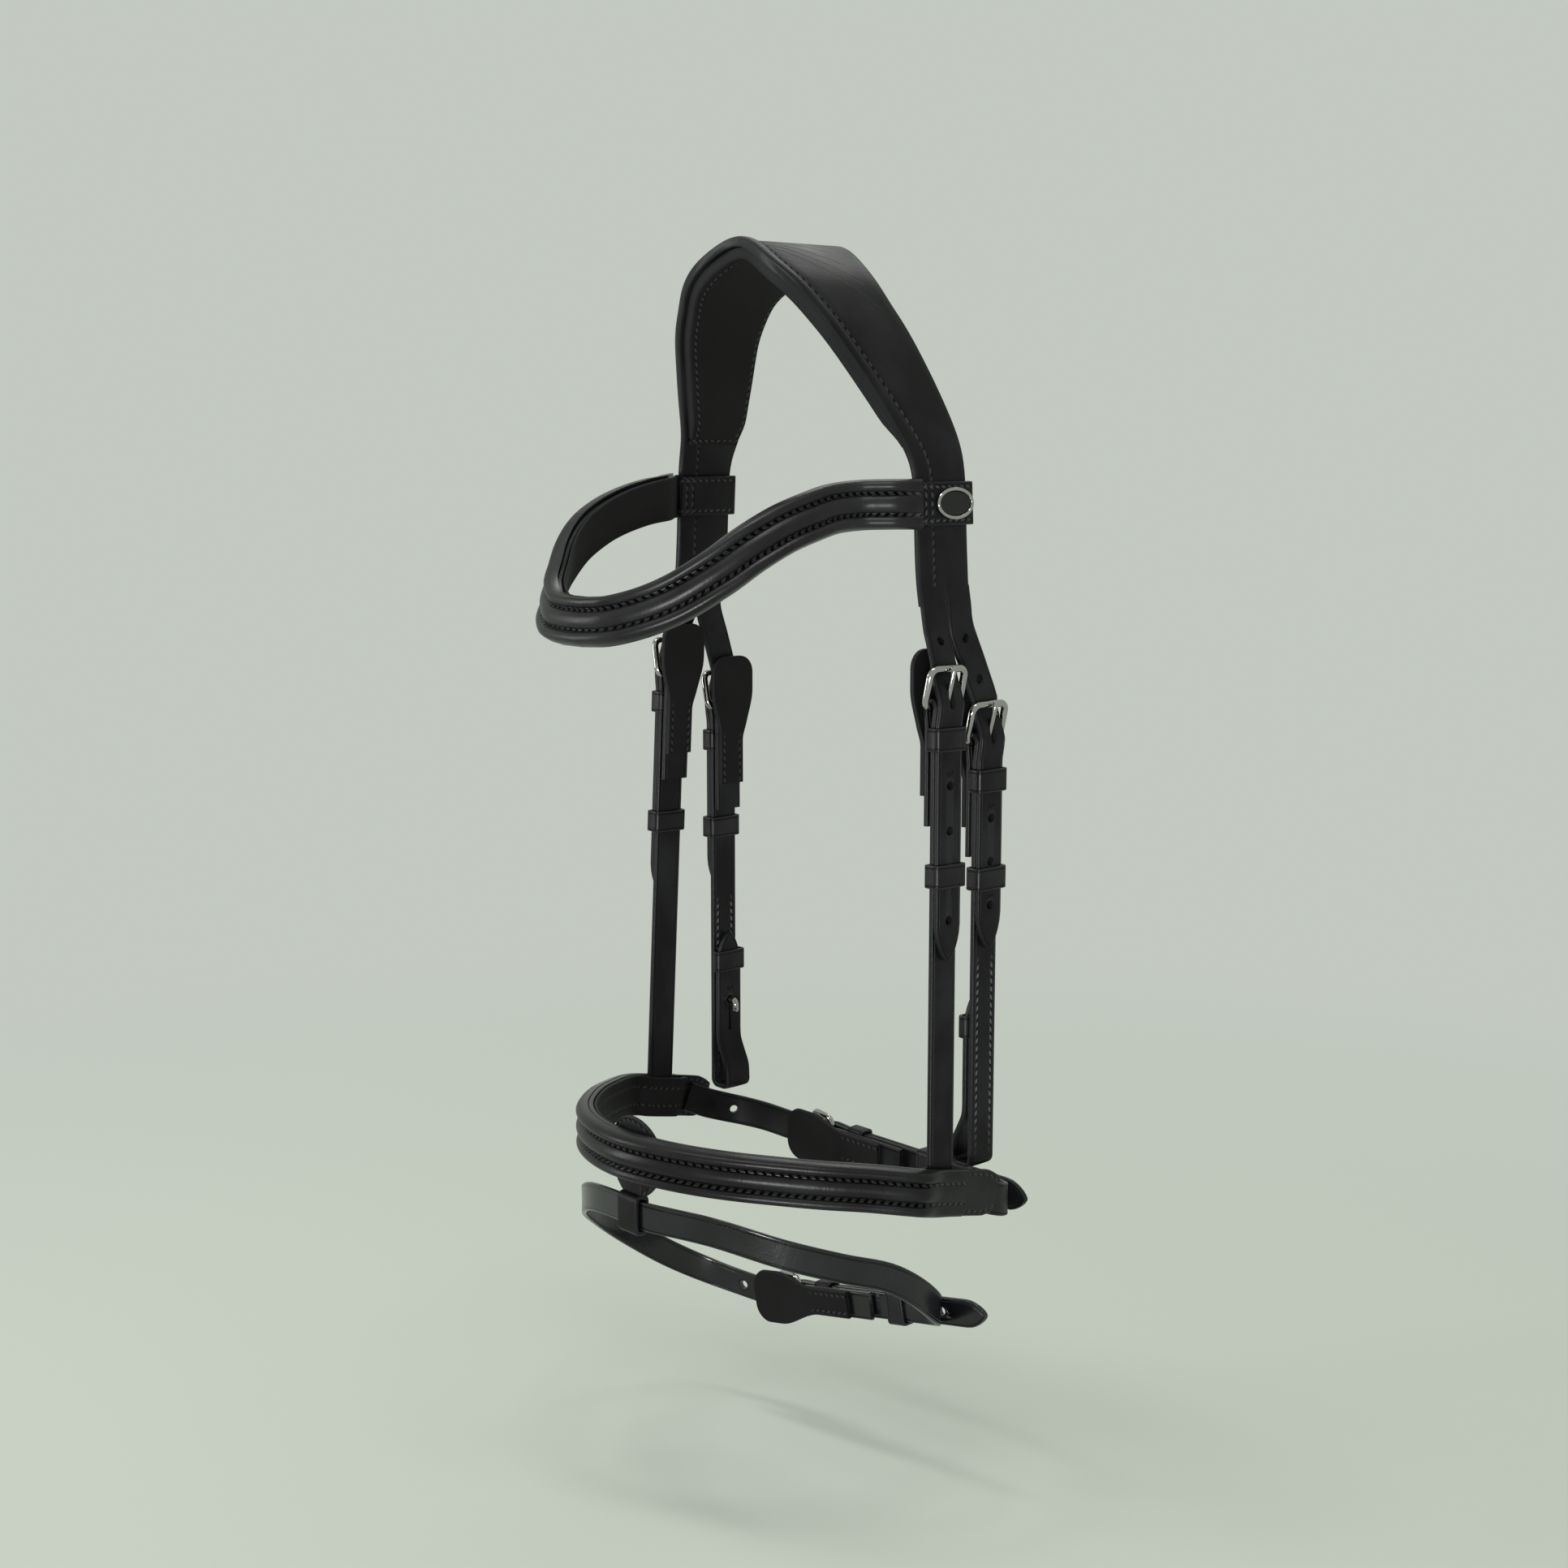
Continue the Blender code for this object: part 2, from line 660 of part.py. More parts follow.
def arch_stations(steps):
    """Frames over the arch from right to left, each with its front and rear edge."""
    half = arch_half()
    places = smooth_route([place for place, edges in half], steps)
    edges = smooth_route([edges for place, edges in half], steps)
    mirror = [Vector((-place.x, 0, place.z)) for place in reversed(places)]
    route = mirror + places
    edges = list(reversed(edges)) + edges
    stations = []
    for point, across, out in frames(route, across_hint=BACKWARDS):
        facing = out if out.z > 0 or out.x * point.x > 0 else -out
        stations.append((point, across, facing))
    return stations, edges


def crown_section(front, rear, place):
    """The headpiece leather: a flat ply with a raised roll along its front edge."""
    fade = ramp((place.z + POLL_PAD_DROP) / CROWN_HALF_LENGTH)
    top = CROWN_PLY
    roll = CROWN_ROLL_HEIGHT * fade
    width = CROWN_ROLL_WIDTH
    chamfer = EDGE_CHAMFER
    outline = [(rear - chamfer, 0), (rear, chamfer), (rear, top - chamfer), (rear - chamfer, top)]
    outline.append((front + width + 2 * chamfer, top))
    outline.append((front + width, top - chamfer * fade))
    for step in range(1, 4):
        angle = math.pi * step / 4
        outline.append((front + width / 2 + width / 2 * math.cos(angle), top + roll * math.sin(angle)))
    outline += [(front, top - chamfer), (front, chamfer), (front + chamfer, 0)]
    return outline


def padding_section(front, rear, swell):
    """The pad under the crown: flat where it rests, rounded at its edges."""
    thick = POLL_PAD_THICKNESS * swell
    front += POLL_PAD_INSET
    rear -= POLL_PAD_INSET
    shoulder = thick / 2
    top = -SEWN_GAP
    return [
        (front, top), (front, top - shoulder / 2), (front + shoulder / 2, top - thick + shoulder / 3),
        (front + 1.4 * shoulder, top - thick), (rear - 1.4 * shoulder, top - thick),
        (rear - shoulder / 2, top - thick + shoulder / 3), (rear, top - shoulder / 2), (rear, top),
    ]


def billet_stations(station, start_back, side, reach):
    """A billet from inside the headpiece's end to its tip, with how far each frame lies from the tip."""
    end_out = ARCH_HALF_WIDTH + CROWN_PLY / 2
    crest = POLL_PAD_THICKNESS + SEWN_GAP
    last = ARCH_SHARES[-1]
    before = ARCH_SHARES[-2]
    rise_out = (last[0] - before[0]) * ARCH_HALF_WIDTH
    rise_up = (before[1] - last[1]) * ARCH_DROP
    end = Vector((side * end_out, start_back, crest - ARCH_DROP))
    slope = Vector((-side * rise_out, 0, rise_up)).normalized()
    start = end + slope * BILLET_START_RISE
    below = end - slope * BILLET_DROP
    buckled = billet_route(station, reach)
    upper = smooth_route([start, end, below, (below + buckled[0]) / 2, buckled[0]], 2)
    route = upper[:-1] + buckled
    stations = frames(route, out_hint=station.out)
    reached = lengths_along(route)
    return stations, [reached[-1] - length for length in reached]


def billet_mesh(stations, left_to_tip, width):
    def section(k):
        return strap_section(billet_half_width(left_to_tip[k], width))
    return sweep(stations, section)


def hole_cutter(point, out):
    low = point - out * PLY
    return cylinder_between(low, point + out * PLY, HOLE_DIAMETER / 2, hint=out.orthogonal())


def make_headpiece(hangers, cheeks):
    stations, edges = arch_stations(2)
    crown = sweep(stations, lambda k: crown_section(edges[k].x, edges[k].y, stations[k][0]))
    headpiece = add_object("headpiece", crown, BLACK_LEATHER)
    inset = ARCH_SHARES[-1][2] * CROWN_HALF_LENGTH + EDGE_CHAMFER
    billets = []
    cutters = []
    for (name, side), hanger, cheek in zip(SIDES, hangers, cheeks):
        first_back = inset + STRAP_WIDTH / 2
        second_back = first_back + STRAP_WIDTH + SEWN_GAP
        for station, back, reach, spare in (
            (hanger, first_back, HANGER_BILLET_REACH, 1),
            (cheek, second_back, CHEEK_BILLET_REACH, 2),
        ):
            frames_down, left = billet_stations(station, back, side, reach)
            billets.append(billet_mesh(frames_down, left, STRAP_WIDTH))
            cutters += plain_holes(station, reach)
            cutters.append(engaged_hole(station))
            for number in range(spare):
                point, across, out = frames_down[-len(billet_route(station, reach)) - 1 - 3 * number]
                cutters.append(hole_cutter(point, out))
    combine(headpiece, join(billets), "billets", "UNION")
    combine(headpiece, join(cutters), "billet_holes", "DIFFERENCE")
    padded = [k for k, row in enumerate(stations) if row[0].z > -POLL_PAD_DROP]
    reached = lengths_along([stations[k][0] for k in padded])
    kept = [stations[k] for k in padded]

    def section(k):
        from_end = min(reached[k], reached[-1] - reached[k])
        swell = 0.35 + 0.65 * ramp(from_end / (CROWN_ROLL_WIDTH * 2))
        edge = edges[padded[k]]
        return padding_section(edge.x, edge.y, swell)
    add_object("headpiece_padding", sweep(kept, section), INNER_LEATHER)


# Noseband

def nose_stations(steps):
    """Frames round the noseband on the outer face of its base, from the left end to the right."""
    left = []
    for out, back, down in NOSE_SHARES:
        left.append(Vector((out * NOSE_HALF_WIDTH, back * NOSE_REACH, -NOSE_FRONT_LEVEL - down * NOSE_DROOP)))
    right = [Vector((-place.x, place.y, place.z)) for place in left]
    return frames(smooth_route(left[::-1] + right, steps), across_hint=UP)


def nose_at(back):
    """The point of the noseband's left side this far back."""
    row = [point for point, across, out in nose_stations(4) if point.x > 0]
    return min(row, key=lambda point: abs(point.y - back))


def rolled_section(height, thickness, swell):
    """Three padded rolls between two stitched groove_shares, on a flat back."""
    half = height / 2
    groove_shares = (0.0, 0.29, 0.71, 1.0)
    valley_share = 0.35
    outline = [(-half, SEWN_GAP), (0, SEWN_GAP), (half, SEWN_GAP)]
    for low, high in zip(groove_shares, groove_shares[1:]):
        for share in (0.0, 0.33, 0.67):
            if low == 0.0 and share == 0.0:
                level = valley_share / 2
            else:
                level = valley_share + (1 - valley_share) * math.sin(math.pi * share) ** 0.7
            place = half - height * (low + (high - low) * share)
            outline.append((place, SEWN_GAP + thickness * swell * level))
    outline.append((-half, SEWN_GAP + thickness * swell * valley_share / 2))
    return outline


def padded_band(name, stations, height, thickness, taper, thin_end=0):
    """A band of three rolls that thins towards its ends, after a thin length where one is given."""
    reached = lengths_along([point for point, across, out in stations])

    def section(k):
        from_end = min(reached[k], reached[-1] - reached[k]) - thin_end
        return rolled_section(height, thickness, 0.25 + 0.75 * ramp(from_end / taper))
    add_object(name, sweep(stations, section), BLACK_LEATHER)


def make_noseband():
    stations = nose_stations(2)
    reached = lengths_along([point for point, across, out in stations])

    def base(k):
        from_end = min(reached[k], reached[-1] - reached[k])
        rounding = math.sqrt(min((from_end + EDGE_CHAMFER) / NOSE_TAPER, 1))
        return flat_section(NOSE_HEIGHT / 2 * (0.6 + 0.4 * rounding), NOSE_PLY, -NOSE_PLY / 2)
    add_object("noseband_base", sweep(stations, base), BLACK_LEATHER)
    padded = [row for row in stations if row[0].y < NOSE_PAD_END_BACK]
    padded_band("noseband_padding", padded, NOSE_HEIGHT, NOSE_PAD_THICKNESS, NOSE_TAPER, NOSE_THIN_END)
    make_noseband_lining()


def make_noseband_lining():
    """The inner ply, which passes over the hangers' ends that are sewn in behind it."""
    stations = [row for row in nose_stations(3) if row[0].y < CHIN_START_BACK - 2 * SEWN_GAP]
    plateau = HANGER_TUCK_WIDTH / 2

    def lining(k):
        off = abs(stations[k][0].y - HANGER_FOOT_BACK)
        bulge = PLY + HANGER_TUCK_GAP + HANGER_TUCK_EASE
        bulge *= ramp((plateau + HANGER_TUCK_RAMP - off) / HANGER_TUCK_RAMP)
        return flat_section(NOSE_HEIGHT / 2 - EDGE_CHAMFER, NOSE_LINING, lining_level() - bulge)
    add_object("noseband_lining", sweep(stations, lining), INNER_LEATHER)


def lining_level():
    return -NOSE_PLY - SEWN_GAP - NOSE_LINING / 2


# Cheek straps

def hanger_station(side):
    """The noseband hanger's buckle, in line with where its strap is sewn into the noseband."""
    seat = nose_at(HANGER_FOOT_BACK)
    inwards = NOSE_PLY + HANGER_TUCK_GAP + PLY / 2 + MAIN_LEVEL
    foot_level = seat.z + NOSE_HEIGHT / 2 - HANGER_TUCK_DEPTH
    foot = Vector((side * (seat.x - inwards), HANGER_FOOT_BACK, foot_level))
    bar = Vector((side * HANGER_BAR_OUT, HANGER_BAR_BACK, -HANGER_BAR_DROP))
    return Station(bar, bar - foot, -BACKWARDS * side, HANGER_FIXED_KEEPER_DROP, HANGER_SLIDING_KEEPER_DROP)


def cheek_station(side):
    bar = Vector((side * CHEEK_BAR_OUT, CHEEK_BAR_BACK, -CHEEK_BAR_DROP))
    down = UP * (CHEEK_FOOT_DROP - CHEEK_BAR_DROP)
    return Station(bar, down, -BACKWARDS * side, CHEEK_FIXED_KEEPER_DROP, CHEEK_SLIDING_KEEPER_DROP)


def make_hanger(name, station):
    foot = [station.at(station.foot, MAIN_LEVEL)]
    stations = frames(foot + turn_route(station), across_hint=station.across)
    strap = sweep(stations, lambda k: strap_section(STRAP_WIDTH / 2))
    thing = add_object(name + "_strap", strap, BLACK_LEATHER)
    combine(thing, slot_cutter(station), name + "_slot", "DIFFERENCE")


RETURN_LEVEL = MAIN_LEVEL - PLY - KEEPER_TUCKED_WALL - 2 * SEWN_GAP


def bit_loop_route(station):
    """Down the outer ply, round the bit's seat, and back up inside to the tip."""
    foot = station.foot
    inner = MAIN_LEVEL - BIT_LOOP_OPENING - PLY
    corner = (MAIN_LEVEL - inner - BIT_SEAT_LENGTH) / 2
    route = []
    for start, centre in ((0, MAIN_LEVEL - corner), (1, inner + corner)):
        for step in range(4):
            angle = math.pi / 2 * (start + step / 3)
            route.append(station.at(foot + corner * (1 - math.sin(angle)), centre + corner * math.cos(angle)))
    waist = BIT_LOOP_HEIGHT
    route.append(station.at(foot + 0.5 * waist, inner + corner / 5))
    route.append(station.at(foot + 0.8 * waist, (inner + RETURN_LEVEL) / 2))
    route.append(station.at(foot + 1.1 * waist, RETURN_LEVEL - corner / 5))
    route.append(station.at(foot + 1.35 * waist, RETURN_LEVEL))
    route.append(station.at(foot + BIT_TIP_RISE - TIP_LENGTH, RETURN_LEVEL))
    route.append(station.at(foot + BIT_TIP_RISE - TIP_LENGTH / 3, RETURN_LEVEL))
    route.append(station.at(foot + BIT_TIP_RISE, RETURN_LEVEL))
    return route


def bit_slit_cutter(station):
    """The slit that lets the return ply over its stud."""
    top = station.foot + BIT_STUD_RISE
    half = BIT_SLIT_WIDTH / 2
    low, high = RETURN_LEVEL - PLY, RETURN_LEVEL + PLY / 2 + SEWN_GAP / 2
    corners = ((top, -half), (top, half), (top - BIT_SLIT_LENGTH, half), (top - BIT_SLIT_LENGTH, -half))
    return loft([[station.at(up, out, across) for up, across in corners] for out in (low, high)])


def make_cheekpiece(name, station):
    turn = list(reversed(turn_route(station)))
    route = turn + bit_loop_route(station)
    stations = frames(route, across_hint=station.across)
    reached = lengths_along(route)

    def section(k):
        return strap_section(billet_half_width(reached[-1] - reached[k], STRAP_WIDTH))
    strap = add_object(name + "_strap", sweep(stations, section), BLACK_LEATHER)
    combine(strap, slot_cutter(station), name + "_slot", "DIFFERENCE")
    up = station.foot + BIT_STUD_RISE
    low = station.at(up, RETURN_LEVEL - PLY)
    high = station.at(up, RETURN_LEVEL + PLY / 2 + SEWN_GAP / 2)
    hole = cylinder_between(low, high, HOLE_DIAMETER / 2, hint=station.up)
    combine(strap, bit_slit_cutter(station), name + "_slit", "DIFFERENCE")
    combine(strap, hole, name + "_stud_hole", "DIFFERENCE")
    rise = station.foot + BIT_KEEPER_RISE
    low, high = RETURN_LEVEL - PLY / 2, RETURN_LEVEL + PLY / 2
    keeper(name + "_bit_keeper", station, rise, low, high, wall_outside=KEEPER_TUCKED_WALL)
    make_bit_stud(name + "_bit_stud", station)


def make_bit_stud(name, station):
    """The hook stud: a post from the outer ply through the return ply, turned down at its end."""
    up = station.foot + BIT_STUD_RISE
    root = MAIN_LEVEL - PLY / 2 - SEWN_GAP
    reach = RETURN_LEVEL - PLY / 2 - BIT_STUD_REACH
    bend = BIT_STUD_REACH / 2
    route = [station.at(up, root), station.at(up, reach + bend)]
    for step in range(1, 5):
        angle = math.pi / 2 * step / 4
        route.append(station.at(up - bend + bend * math.cos(angle), reach + bend - bend * math.sin(angle)))
    route.append(station.at(up - BIT_STUD_HOOK, reach))
    add_object(name, wire(route, WIRE_RADIUS, 8, hint=station.across), POLISHED_STEEL)


# Chin strap

def chin_station():
    bar = Vector((-CHIN_BAR_FAR, CHIN_BACK - MAIN_LEVEL, -CHIN_DROP))
    return Station(bar, Vector((-1, 0, 0)), UP, CHEEK_FIXED_KEEPER_DROP, CHIN_SLIDING_KEEPER_DROP)


def chin_corner(side):
    """From behind the noseband's end, round the corner of the jaw."""
    start = nose_at(CHIN_START_BACK)
    out = start.x - NOSE_PLY - SEWN_GAP - PLY / 2
    points = []
    for out_share, back_share, down_share in CHIN_SHARES:
        back = CHIN_START_BACK + back_share * (CHIN_BACK - CHIN_START_BACK)
        level = start.z + down_share * (-CHIN_DROP - start.z)
        points.append(Vector((side * out * out_share, back, level)))
    return points


def make_chin(station):
    near = smooth_route(chin_corner(1), 3)
    route = near + turn_route(station)
    strap = sweep(frames(route, across_hint=UP), lambda k: strap_section(STRAP_WIDTH / 2))
    thing = add_object("chin_strap", strap, BLACK_LEATHER)
    combine(thing, slot_cutter(station), "chin_slot", "DIFFERENCE")
    far = chin_corner(-1)[:-1]
    far.append(station.at(GUARD_TOP + EDGE_CHAMFER, BILLET_UNDER_CROSSBAR))
    far = smooth_route(far, 3)
    route = far + billet_route(station, CHIN_BILLET_REACH)
    stations = frames(route, across_hint=UP)
    reached = lengths_along(route)
    left = [reached[-1] - length for length in reached]
    billet = add_object("chin_billet", billet_mesh(stations, left, STRAP_WIDTH), BLACK_LEATHER)
    point, across, out = stations[len(far) // 2]
    cutters = plain_holes(station, CHIN_BILLET_REACH) + [engaged_hole(station), hole_cutter(point, out)]
    combine(billet, join(cutters), "chin_holes", "DIFFERENCE")


# Browband

def neck_out(drop):
    """How far out the seam of the headpiece's neck lies at this drop below its crest."""
    rows = [(row[1], row[0]) for row in ARCH_SHARES]
    wanted = drop / ARCH_DROP
    for (high, first), (low, second) in zip(rows, rows[1:]):
        if low <= wanted <= high:
            return ARCH_HALF_WIDTH * (first + (second - first) * (high - wanted) / (high - low))
    return ARCH_HALF_WIDTH


def neck_lean():
    """The slope of the headpiece's neck, which the browband's tab follows."""
    (first, high), (second, low) = [(row[0], row[1]) for row in ARCH_SHARES[-4:-2]]
    return math.atan2((second - first) * ARCH_HALF_WIDTH, (high - low) * ARCH_DROP)


def brow_tab_route():
    """The left tab's loop round the headpiece's neck, from its inner end to its outer one."""
    crest = POLL_PAD_THICKNESS + SEWN_GAP
    seam = neck_out(-BROW_TOP_LEVEL - crest)
    front = ARCH_SHARES[-2][2] * CROWN_HALF_LENGTH
    rear = ARCH_SHARES[-2][3] * CROWN_HALF_LENGTH
    off = BROW_LOOP_SLACK + BROW_PLY / 2
    inner = seam - off
    outer = seam + CROWN_PLY + off
    turn = (outer - inner) / 2
    centre = (outer + inner) / 2
    back = rear + off - turn / 2
    points = [Vector((inner, front - BROW_PLY, 0)), Vector((inner, (front + rear) / 2, 0))]
    for step in range(7):
        angle = math.pi * step / 6
        points.append(Vector((centre - turn * math.cos(angle), back + turn / 2 * math.sin(angle), 0)))
    points += [Vector((outer, (front + rear) / 2, 0)), Vector((outer, front, 0))]
    return [point - UP * BROW_TOP_LEVEL for point in points]


def brow_front_route():
    points = []
    for out, forward, down in BROW_SHARES:
        level = -BROW_TOP_LEVEL - down * BROW_DIP
        points.append(Vector((out * BROW_SIDE_OUT, forward * BROW_REACH, level)))
    return points


def lean_frames(stations):
    """Tips each frame: the tabs follow the necks, and the front leans in at its top."""
    tipped = []
    for point, across, out in stations:
        side = 1 if point.x > 0 else -1
        forward = ramp(-point.y / (2 * BROW_HEIGHT))
        lean = neck_lean() * out.x * side * (1 - forward) + BROW_LEAN * forward
        cosine, sine = math.cos(lean), math.sin(lean)
        tipped.append((point, across * cosine - out * sine, out * cosine + across * sine))
    return tipped


def brow_stations():
    """Frames along the whole browband, and along its front without the tabs."""
    tab = brow_tab_route()
    front = smooth_route([tab[-1]] + brow_front_route(), 3)[1:]
    left = tab + front
    right = [Vector((-point.x, point.y, point.z)) for point in reversed(left)]
    stations = lean_frames(frames(left + right, across_hint=UP))
    return stations, stations[len(tab):len(stations) - len(tab)]


def make_browband():
    whole, front = brow_stations()
    add_object(
        "browband_base", sweep(whole, lambda k: flat_section(BROW_HEIGHT / 2, BROW_PLY, 0)), BLACK_LEATHER
    )
    outer = [(point + out * (BROW_PLY / 2), across, out) for point, across, out in front]
    padded_band("browband_padding", outer, BROW_PAD_HEIGHT, BROW_PAD_THICKNESS, BROW_TAPER)
    lined = front[3:-3]
    level = -BROW_PLY / 2 - SEWN_GAP - BROW_LINING / 2
    half = BROW_PAD_HEIGHT / 2 - EDGE_CHAMFER
    lining = sweep(lined, lambda k: flat_section(half, BROW_LINING, level))
    add_object("browband_lining", lining, INNER_LEATHER)
    make_concho(whole)


def make_concho(stations):
    """The oval badge on the left tab, with a plain plate inside a round rim."""
    tab = brow_tab_route()
    point, across, out = stations[len(tab) - 2]
    face = point + out * (BROW_PLY / 2 + SEWN_GAP)
    along = across.cross(out)
    face -= along * (along.y * (face.y - (tab[len(tab) // 2].y - CONCHO_INSET)))
    turns = [math.tau * step / 18 for step in range(18)]
    rim = []
    for turn in turns:
        rim.append(
            face + out * CONCHO_RIM_RADIUS
            + along * (math.cos(turn) * (CONCHO_LENGTH / 2 - CONCHO_RIM_RADIUS))
            + across * (math.sin(turn) * (CONCHO_HEIGHT / 2 - CONCHO_RIM_RADIUS))
        )
    add_object("concho_rim", wire(rim, CONCHO_RIM_RADIUS, 6, closed=True, hint=out), POLISHED_STEEL)
    inset = 2 * CONCHO_RIM_RADIUS + SEWN_GAP
    rings = []
    for level, drawn_in in ((0, 0), (CONCHO_PLATE, 0), (CONCHO_PLATE + SEWN_GAP, EDGE_CHAMFER)):
        ring = []
        for turn in turns:
            long = math.cos(turn) * (CONCHO_LENGTH / 2 - inset - drawn_in)
            short = math.sin(turn) * (CONCHO_HEIGHT / 2 - inset - drawn_in)
            ring.append(face + out * level + along * long + across * short)
        rings.append(ring)
    add_object("concho_plate", loft(rings), BLACK_LACQUER)


# Flash

def flash_place(shares):
    out, back, down = shares
    return Vector((
        out * FLASH_HALF_WIDTH,
        back * FLASH_LENGTH - FLASH_FRONT_REACH,
        down * FLASH_HANG - FLASH_FRONT_DROP,
    ))


def flash_station():
    bar = flash_place(FLASH_BAR_SHARES)
    run = Vector(FLASH_RUN_SHARES)
    return Station(bar, run, UP, CHEEK_FIXED_KEEPER_DROP, CHIN_SLIDING_KEEPER_DROP, FLASH_WIDTH)


def make_flash_strap(station):
    """One strap: from its tip over the bar, round the far side, the nose and the near side, to the turn."""
    billet = list(reversed(billet_route(station, FLASH_BILLET_REACH)))
    ring = [station.at(GUARD_TOP + EDGE_CHAMFER, BILLET_UNDER_CROSSBAR)]
    ring += [flash_place(row) for row in reversed(FLASH_FAR_SHARES)]
    ring += [flash_place(row) for row in reversed(FLASH_NEAR_SHARES)]
    ring.append(station.at(-FLASH_TURN_DROP, MAIN_LEVEL))
    ring.append(station.at(FLASH_TURN_STRAIGHT - FLASH_TURN_DROP, MAIN_LEVEL))
    ring = smooth_route(ring, 2)
    turn = turn_route(station)
    hints = [station.across] * len(billet) + [UP] * len(ring) + [station.across] * len(turn)
    route = billet + ring + turn
    reached = lengths_along(route)
    stations = frames(route, across_hint=hints)
    strap = sweep(stations, lambda k: strap_section(billet_half_width(reached[k], FLASH_WIDTH)))
    thing = add_object("flash_strap", strap, BLACK_LEATHER)
    combine(thing, slot_cutter(station), "flash_slot", "DIFFERENCE")
    point, across, out = stations[len(billet) + 4]
    cutters = plain_holes(station, FLASH_BILLET_REACH) + [engaged_hole(station), hole_cutter(point, out)]
    combine(thing, join(cutters), "flash_holes", "DIFFERENCE")


def make_flash_tab():
    """The half-round tab inside the nosepiece, whose stem carries the loop round the flash strap."""
    half = FLASH_TAB_WIDTH / 2
    level = lining_level() - NOSE_LINING / 2 - SEWN_GAP - FLASH_TAB_PLY / 2
    centre = NOSE_HEIGHT / 2 + FLASH_TAB_RISE - half
    rows = [row for row in nose_stations(6) if row[0].y < 0 and abs(row[0].x) < half]

    def section(k):
        round_share = math.sqrt(max(1 - (rows[k][0].x / half) ** 2, 0))
        top = centre + half * round_share
        low = centre - half * round_share
        outer, inner = level + FLASH_TAB_PLY / 2, level - FLASH_TAB_PLY / 2
        return [(top, inner), (top, outer), (low, outer), (low, inner)]
    tab = add_object("flash_tab", sweep(rows, section), BLACK_LEATHER)
    add_flash_loop(tab, level, centre)


def add_flash_loop(tab, level, centre):
    """The stem and the loop, joined to the tab."""
    slack = FLASH_LOOP_SLACK + FLASH_TAB_PLY / 2
    out_reach = PLY / 2 + slack
    rise = FLASH_WIDTH / 2 + slack
    middle = Vector((0, -FLASH_FRONT_REACH, -FLASH_FRONT_DROP))
    route = []
    for back, up in rounded_rectangle(2 * out_reach, 2 * rise, FLASH_TAB_PLY, 2):
        route.append(middle + BACKWARDS * back + UP * up)
    across = Vector((1, 0, 0))
    half = FLASH_LOOP_WIDTH / 2
    rings = []
    for k, point in enumerate(route):
        along = (route[(k + 1) % len(route)] - route[k - 1]).normalized()
        out = across.cross(along)
        section = strap_section(half, FLASH_TAB_PLY)
        rings.append([point + across * a + out * o for a, o in section])
    loop = loft(rings, closed=True)
    stem_back = level_back(level)
    stem_top = -NOSE_FRONT_LEVEL + centre
    ply = FLASH_TAB_PLY / 2 - EDGE_CHAMFER / 4
    corners = [(-ply, -half + EDGE_CHAMFER), (ply, -half + EDGE_CHAMFER), (ply, half - EDGE_CHAMFER)]
    corners.append((-ply, half - EDGE_CHAMFER))
    stem = []
    top = middle + UP * rise
    for place in (Vector((0, stem_back, stem_top)), Vector((0, stem_back, top.z + FLASH_TAB_PLY)), top):
        stem.append([place + BACKWARDS * back + across * side for back, side in corners])
    combine(tab, loop, "flash_loop", "UNION")
    combine(tab, loft(stem), "flash_stem", "UNION")


def level_back(level):
    """The place, front to back, of a level inside the noseband at the middle of the nose."""
    front = min(point.y for point, across, out in nose_stations(4))
    return front - level


# The whole bridle

def clear_scene():
    for thing in list(bpy.data.objects):
        bpy.data.objects.remove(thing, do_unlink=True)


def main():
    clear_scene()
    hangers = [hanger_station(side) for name, side in SIDES]
    cheeks = [cheek_station(side) for name, side in SIDES]
    make_headpiece(hangers, cheeks)
    for (name, side), hanger, cheek in zip(SIDES, hangers, cheeks):
        make_hanger(name + "_hanger", hanger)
        make_cheekpiece(name + "_cheek", cheek)
        buckle_pieces(name + "_hanger", hanger)
        buckle_pieces(name + "_cheek", cheek)
    make_browband()
    make_noseband()
    chin = chin_station()
    make_chin(chin)
    buckle_pieces("chin", chin)
    flash = flash_station()
    make_flash_strap(flash)
    buckle_pieces("flash", flash)
    make_flash_tab()


main()
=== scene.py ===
# %% [markdown]
# # A padded horse bridle, from leather strap to steel buckle
# A bridle is a set of straps that carries a bit in a horse's mouth. This one hangs as if on a head:
# the headpiece arches over the poll, the browband dips across the forehead, and the noseband and a
# thin flash strap go round the nose. The solid model gives every piece its place. This script
# gives each one the shape, stitching and finish that the eye expects, one step at a time.

# %% Load the solid model and keep its box
from functools import partial
import math

import bmesh
from bmesh.types import BMEdge, BMVert
import bpy
from mathutils import Matrix, Vector


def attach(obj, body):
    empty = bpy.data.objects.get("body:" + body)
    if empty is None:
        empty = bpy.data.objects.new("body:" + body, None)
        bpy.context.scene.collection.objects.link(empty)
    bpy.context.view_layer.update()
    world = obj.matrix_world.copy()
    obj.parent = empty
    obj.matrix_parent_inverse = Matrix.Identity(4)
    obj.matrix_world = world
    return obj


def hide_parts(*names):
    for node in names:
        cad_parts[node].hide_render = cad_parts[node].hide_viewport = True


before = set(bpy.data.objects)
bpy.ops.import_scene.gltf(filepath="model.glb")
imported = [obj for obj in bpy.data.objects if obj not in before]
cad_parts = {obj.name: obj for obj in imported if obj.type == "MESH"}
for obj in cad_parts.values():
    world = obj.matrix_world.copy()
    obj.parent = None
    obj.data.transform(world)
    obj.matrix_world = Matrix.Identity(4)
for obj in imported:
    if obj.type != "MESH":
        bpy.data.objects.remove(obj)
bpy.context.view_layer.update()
MM = 0.001
UP = Vector((0, 0, 1))
